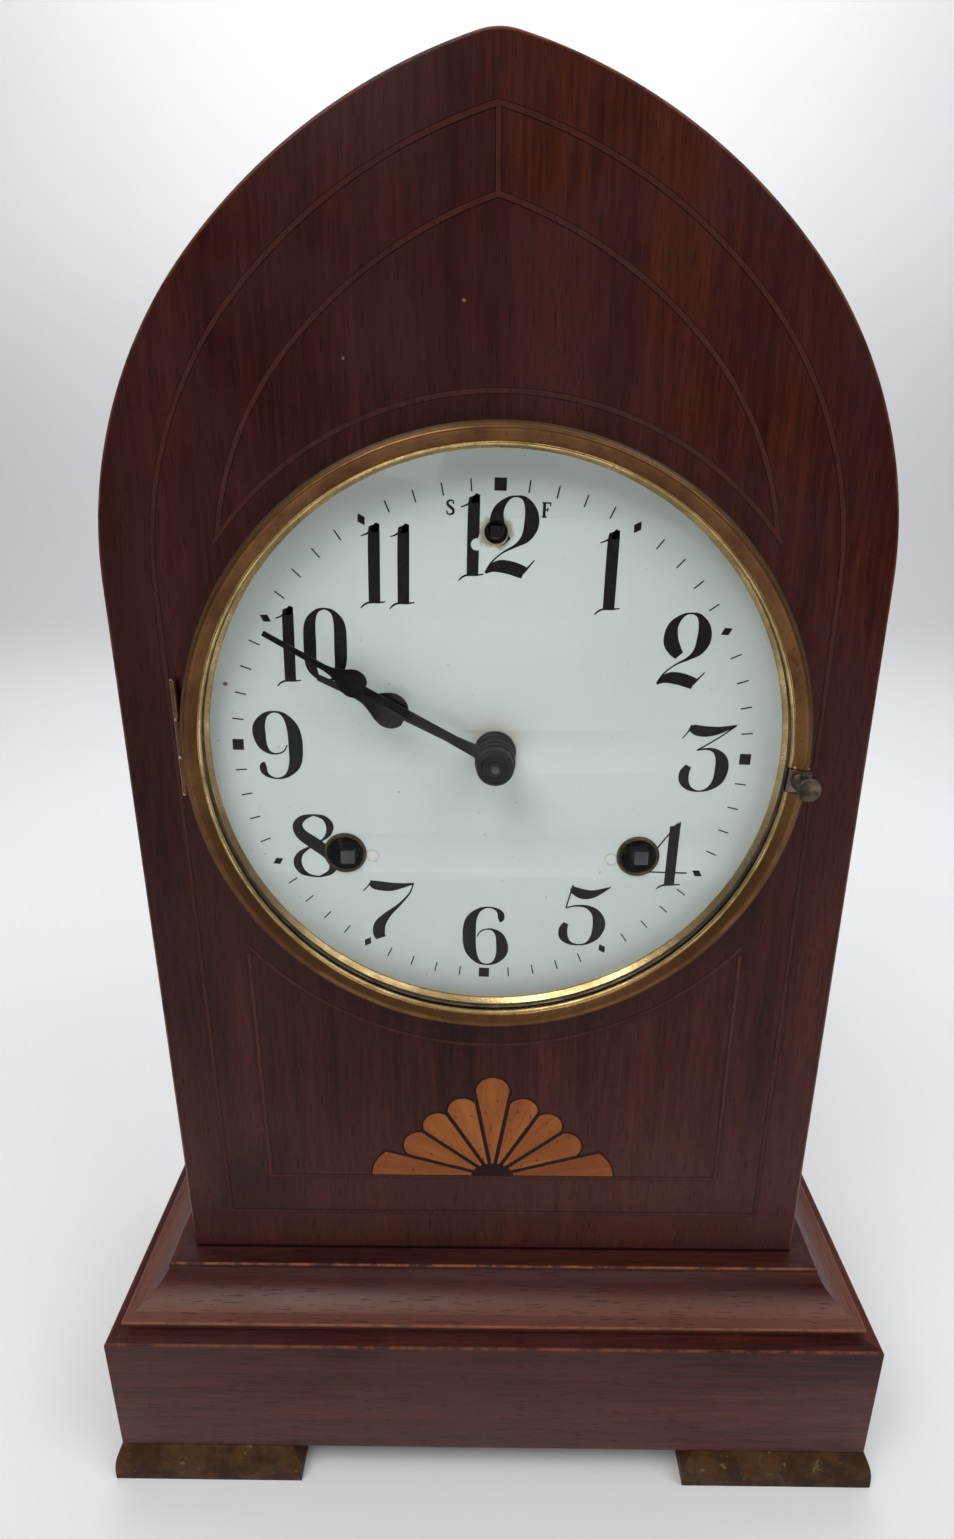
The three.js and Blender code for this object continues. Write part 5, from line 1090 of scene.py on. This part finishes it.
def makeBezel():
    ring = turnedPiece("bezel_brass", bezel["profile"], 200, dialCentre, True)
    cutOut(ring, knobBlock("knobNotch", knob["notch"], knob["notchFront"], 0.0))
    for finish in (agedBrass, brightBrass, wornBrass):
        ring.data.materials.append(finish)
    rubbedFrom, rubbedFront = bezel["rubbed"]
    for face in ring.data.polygons:
        radius = math.hypot(face.center.x, face.center.z - dialZ)
        rubbed = radius > rubbedFrom and face.center.y < rubbedFront
        face.material_index = 1 if radius < bezel["bead"] else 2 if rubbed else 0
    place(ring, "bezel_door", "aged_brass", None, "bezel", smooth=40)


def makeGlass():
    (_, y0, _), (rim, y1, _) = inClock("bezel_glass")
    thick, steps = bezel["glass"], bezel["glassSteps"]
    edgeY, rise = y1 - thick, (y1 - y0) - thick
    ball = (rim * rim + rise * rise) / (2 * rise)
    front = [(r, edgeY - (math.sqrt(ball * ball - r ** 2) - (ball - rise)))
             for r in [rim * i / steps for i in range(steps + 1)]]
    back = [(r, y + thick) for r, y in reversed(front)]
    pane = turnedPiece("bezel_glass_pane", front + back, 128, dialCentre)
    place(pane, "bezel_door", "glass", glass, "bezel_glass", smooth=50)
    (_, y0, _), (rim, y1, _) = inClock("glass_retainer")
    inner = rim - bezel["retainer"]
    profile = [(inner, y1), (inner + 0.1, y0 + 0.3), (inner + 0.4, y0), (rim - 0.2, y0), (rim, y0 + 0.2),
               (rim, y1)]
    ring = turnedPiece("glass_retainer_ring", profile, 160, dialCentre, True)
    place(ring, "bezel_door", "brass", dullBrass, "glass_retainer")


def makeKnob():
    inner, outer, half = knob["plate"]
    tip, front = span("bezel_knob", "y")[0], knob["plateFront"]
    plate = knobBlock("bezel_knob_plate", knob["plate"], front, knob["edge"])
    place(plate, "bezel_door", "aged_brass", dullKnob, smooth=50)
    profile = [(0, tip + 1.0), (1.0, tip + 0.9), (1.8, tip + 0.52), (2.3, tip + 0.12), (2.52, tip),
               (2.72, tip + 0.1), (2.8, tip + 0.4), (2.65, tip + 0.95), (2.2, tip + 1.5), (1.85, tip + 2.1),
               (1.66, tip + 3.0), (1.62, front - 1.0), (1.75, front - 0.3), (2.1, front), (2.1, front + 0.4),
               (0, front + 0.4)]
    turned = atKnob(turnedPiece("bezel_knob_turned", profile, 64, ((inner + outer) / 2, 0)))
    place(turned, "bezel_door", "aged_brass", dullKnob, "bezel_knob", smooth=50)
    blobs = []
    for side, spots in knob["solder"].items():
        for along, beyond, size in spots:
            bpy.ops.mesh.primitive_ico_sphere_add(subdivisions=2, radius=size, location=(0, 0, 0))
            blob = bpy.context.object
            at = (inner + along, front + knob["solderUp"], side * (half + beyond))
            blob.data.transform(Matrix.Translation(at))
            blobs.append(blob)
    place(atKnob(joined("bezel_knob_solder", *blobs)), "bezel_door", "aged_brass", brightBrass, smooth=60)


hinge = {"fit": 0.3, "round": 0.15, "barrel": 0.8, "inward": 0.35, "tongue": 0.4, "backBarrel": 1.6,
         "backLeaf": 1.0}


def barrel(name, radius, axis, low, high):
    edge, turn = hinge["round"], circle(1, 24)
    steps = ((radius - edge, low), (radius, low + edge), (radius, high - edge), (radius - edge, high))
    return loftPiece(name, [[(axis[0] + r * x, axis[1] + r * y, z) for x, y in turn] for r, z in steps])


def pinAxis(node):
    return [sum(span(node, axis)) / 2 for axis in "xy"]


def makeBezelHinge():
    thin, radius = hinge["tongue"], hinge["barrel"]
    x, y = pinAxis("bezel_hinge_pin")
    x += hinge["inward"]
    z0, z1 = span("bezel_hinge_case_leaf", "z")
    long = (z1 - z0) / 3 - hinge["fit"]
    lows = (z0, z1 - long)
    parts = [barrel("caseKnuckle", radius, (x, y), low, low + long) for low in lows]
    for low in lows:
        parts.append(boxPiece("caseTongue", (x - thin, y + 0.5, low), (x + thin, 0.4, low + long), 0.05))
    knuckles = joined("bezel_hinge_knuckles", *parts)
    place(knuckles, "case", "aged_brass", agedBrass, "bezel_hinge_case_leaf")
    (_, y0, z0), (x1, y1, z1) = inClock("bezel_hinge_tab")
    plate = boxPiece("tabPlate", (x, y0 + 0.2, z0), (x1, y1, z1), 0.1)
    tab = joined("bezel_hinge_tab_brass", barrel("tabKnuckle", radius, (x, y), z0, z1), plate)
    place(tab, "bezel_door", "aged_brass", agedBrass, "bezel_hinge_tab")


def makeBackHinge():
    axis, radius, fit = pinAxis("back_hinge_pin"), hinge["backBarrel"], hinge["fit"]
    low, high = span("back_hinge_frame_leaf", "z")
    third, middle = (high - low) / 3, (high + low) / 2
    outer = [(low, low + third - fit), (high - third + fit, high)]
    inner = [(middle - third / 2 + fit, middle + third / 2 - fit)]
    back = bodyBack + hinge["backLeaf"]
    for name, body, side, knuckles in (("frame", "case", -1, outer), ("door", "rear_door", 1, inner)):
        node = f"back_hinge_{name}_leaf"
        (x0, _, z0), (x1, _, z1) = inClock(node)
        left, right = sorted((axis[0] + side * radius * 0.6, x1 if side > 0 else x0))
        parts = [barrel("knuckle", radius, axis, *ends) for ends in knuckles]
        parts.append(boxPiece("leaf", (left, bodyBack, z0), (right, back, z1), 0.25))
        place(joined(f"{node}_brass", *parts), body, "brass", plateBrass, node)


# Hands: the spade's outline is given in shares of its half width, its neck in shares of the tip's
hands = {
    "hour": {"long": 45.1, "spade": 23.2, "half": 4.2, "tip": 0.7, "bore": 3.7, "angle": 294.95, "tilt": 2.3},
    "minute": {"long": 60.1, "spade": 34.4, "half": 3.2, "tip": 0.6, "bore": 1.7, "angle": 299.4,
               "tilt": 3.2},
    "bar": 0.8, "flare": 1.5, "hub": 4.7, "root": 0.97, "thick": 0.8, "edge": 0.14,
    "belly": ((0.55, 0.02), (0.9, 0.4), (1, 0.95), (0.84, 1.45), (0.5, 2.0)),
    "neck": ((1.7, 2.5), (1.15, 3.1))}


def handLoop(hand):
    start, half, tip, long = hand["spade"], hand["half"], hand["tip"], hand["long"]
    bar, hub, root = hands["bar"], hands["hub"], hands["root"]
    spade = [(bar, start - 0.1)]
    spade += [(half * wide, start + half * up) for wide, up in hands["belly"]]
    spade += [(tip * wide, start + half * up) for wide, up in hands["neck"]]
    side = [(bar * hands["flare"], hub * root), (bar, start - 1), *smoothLine(spade, 5)]
    side += [(tip, long - 0.1), (tip - 0.1, long)]
    right = list(reversed(side)) + arc((0, 0), hub, math.asin(root), -math.pi / 2, 36)[1:]
    return right + [(-x, z) for x, z in reversed(right[:-1])]


def makeHands():
    for name, finish in (("hour", hourSteel), ("minute", handSteel)):
        hand = hands[name]
        loops = [handLoop(hand), circle(hand["bore"], 32)]
        blade = flatPiece(f"{name}_hand_blade", loops, 0, hands["thick"], hands["edge"], 2)
        lean = Matrix.Rotation(-math.radians(hand["tilt"]), 4, "X")
        turn = Matrix.Rotation(math.radians(hand["angle"]), 4, "Y")
        front = span(f"{name}_hand", "y")[0]
        blade.data.transform(Matrix.Translation((0, front, dialZ)) @ turn @ lean)
        place(blade, f"{name}_train", "blued_steel", finish, f"{name}_hand", smooth=40)
    front, back = span("hour_hand", "y")
    profile = [(3.75, back), (4.9, back), (5.0, back - 0.15), (5.0, back - 0.7), (4.85, back - 0.9),
               (4.3, back - 1.1), (4.2, front + 0.5), (3.75, front + 0.4)]
    collet = turnedPiece("hour_hand_collet", profile, 64, dialCentre, True)
    place(collet, "hour_train", "blued_steel", handSteel, smooth=40)


handNut = {"steps": 120, "knurl": 0.97}


def makeHandNut():
    (_, y0, _), (wide, y1, _) = inClock("hand_nut")
    steps, knurl = handNut["steps"], handNut["knurl"]
    profile = [(1.7, y1), (wide - 0.25, y1), (wide, y1 - 0.2), (wide, y0 + 0.9), (wide - 0.2, y0 + 0.65),
               (wide - 0.55, y0 + 0.55), (3.55, y0 + 0.5), (3.45, y0 + 0.8), (3.25, y0 + 0.8),
               (3.15, y0 + 0.35), (2.9, y0 + 0.12), (2.2, y0), (2.1, y0 + 0.3), (1.9, y0 + 0.3),
               (1.75, y0 - 0.15), (1.5, y0 - 0.34), (0, y0 - 0.38)]
    nut = turnedPiece("hand_nut_knurled", profile, steps, dialCentre)
    for vertex in nut.data.vertices:
        across = Vector((vertex.co.x, vertex.co.z - dialZ))
        step = round(math.atan2(across.y, across.x) / (2 * math.pi) * steps)
        if across.length > wide * knurl and step % 2:
            vertex.co.x *= knurl
            vertex.co.z = dialZ + across.y * knurl
    place(nut, "minute_train", "blued_steel", handSteel, "hand_nut", smooth=30)
    profile = [(0, y0 - 0.52), (0.8, y0 - 0.5), (0.95, y0 - 0.42), (0.95, y0 - 0.3), (0, y0 - 0.3)]
    tip = turnedPiece("centre_arbor_tip", profile, 32, dialCentre)
    place(tip, "minute_train", "steel", darkSteel, smooth=40)


# Back of the case
door = {"half": 48, "low": 88, "spring": 190, "gap": 0.6, "edge": 0.4, "wear": 0.5,
        "buttonScrew": (55, 150, 1.8),
        "knob": ((0.4, 0.1), (0.36, 0.35), (0.6, 0.47), (0.93, 0.56), (1, 0.68), (0.92, 0.84), (0.6, 0.96))}


def doorLoop(inset):
    radius, low = door["half"] - inset, door["low"] + inset
    return [(radius, low), *arc((0, door["spring"]), radius, 0, math.pi, 64), (-radius, low)]


def makeBack():
    y0, y1 = span("back_panel", "y")
    x, z, radius = door["buttonScrew"]
    panel = [lancetLoop(case["rim"] + case["fit"], True), doorLoop(0), circle(radius, 24, (x, z))]
    leaf = [doorLoop(door["gap"])]
    for node, body, loops in (("back_panel", "case", panel), ("back_door", "rear_door", leaf)):
        board = flatPiece(f"{node}_board", loops, y0, y1, door["edge"], 2)
        wornEdge(board, lambda point: door["wear"] if y1 - 0.45 < point.y < y1 - 0.01 else 0.0)
        place(board, body, "backwood", backWood, node, smooth=30)
    (x0, y0, z0), (x1, y1, z1) = inClock("back_door_knob")
    wide, long = (x1 - x0) / 2, y1 - y0
    profile = [(0, y0), (wide * 0.5, y0), (wide * 0.5, y0 + 0.4)]
    profile += [(wide * out, y0 + long * run) for out, run in door["knob"]] + [(0, y1)]
    turned = turnedPiece("back_door_knob_turned", profile, 64, ((x0 + x1) / 2, (z0 + z1) / 2))
    place(turned, "rear_door", "brass", plateBrass, "back_door_knob", smooth=50)


# Pendulum bob and gong
bob = {"edge": 0.14, "steps": 16}


def makeBob():
    (x0, y0, _), (x1, y1, z1) = inClock("pendulum_bob")
    radius, middle, bulge = (x1 - x0) / 2, (y0 + y1) / 2, (y1 - y0) / 2
    edge, steps = bob["edge"], bob["steps"]
    front = []
    for i in range(steps + 1):
        front.append((radius * i / steps, -bulge * (edge + (1 - edge) * (1 - (i / steps) ** 2))))
    profile = [(r, middle + y) for r, y in front] + [(r, middle - y) for r, y in reversed(front)]
    lens = turnedPiece("pendulum_bob_lens", profile, 96, (0, z1 - radius))
    place(lens, "pendulum", "brass", plateBrass, "pendulum_bob", smooth=50)


gong = {"wire": 1.3, "drop": 93, "start": 6.3, "inner": 11.0, "outer": 43.7, "turns": 3, "steps": 48,
        "lead": 0.131, "leadSteps": 12}


def makeGong():
    wire, start, inner, turns = gong["wire"], gong["start"], gong["inner"], gong["turns"]
    lead, leadSteps = gong["lead"], gong["leadSteps"]
    depth, middle = sum(span("gong", "y")) / 2, dialZ - gong["drop"]
    rise = (gong["outer"] - inner) / (2 * math.pi * turns)
    angles = [i * lead / leadSteps for i in range(leadSteps)]
    angles += [i * 2 * math.pi / gong["steps"] for i in range(1, gong["steps"] * turns + 1)]
    line = [(start, middle)]
    for angle in angles:
        out = start + 2 * wire
        reach = out + (inner - out) * (1 - math.exp(-angle / lead)) + rise * angle
        line.append((reach * math.cos(angle), middle + reach * math.sin(angle)))
    drawn = bpy.data.curves.new("gongWire", "CURVE")
    drawn.dimensions, drawn.bevel_depth, drawn.bevel_resolution, drawn.use_fill_caps = "3D", wire, 3, True
    spline = drawn.splines.new("POLY")
    spline.points.add(len(line) - 1)
    for point, (x, z) in zip(spline.points, line):
        point.co = (x, depth, z, 1)
    coil = meshFromCurve("gong_coil", drawn)
    weld(coil)
    place(coil, "case", "spring_steel", springSteel, "gong", smooth=60)


# Finishes of the solids that are shown as they are
slotFinish = {"brass": plateBrass, "aged_brass": agedBrass, "steel": steel, "spring_steel": springSteel,
              "iron": castIron, "blued_steel": handSteel, "backwood": backWood, "mahogany": bodyWood,
              "satinwood": lineWood, "enamel": enamel, "glass": glass}
darkArbors = ("time_winding_arbor", "strike_winding_arbor", "regulator_arbor")


def finishSolids():
    for part in frame["record"]["subparts"]:
        solid = frame["nodes"][part["node"]]
        if not solid.hide_render:
            finish = handSteel if part["node"] in darkArbors else slotFinish[part["material_slot"]]
            solid.data.materials.clear()
            solid.data.materials.append(finish)


makeBody()
makeStringing()
makeFan()
makeMoulding()
makePlinth()
makeFeet()
print("case ready")
makeDial()
makePrint()
makeSightRing()
makeGrommets()
makeWinding()
makeBezel()
makeGlass()
makeKnob()
makeBezelHinge()
makeBackHinge()
makeHands()
makeHandNut()
print("dial, bezel and hands ready")
makeBack()
makeBob()
makeGong()
finishSolids()
print("back and inside ready")
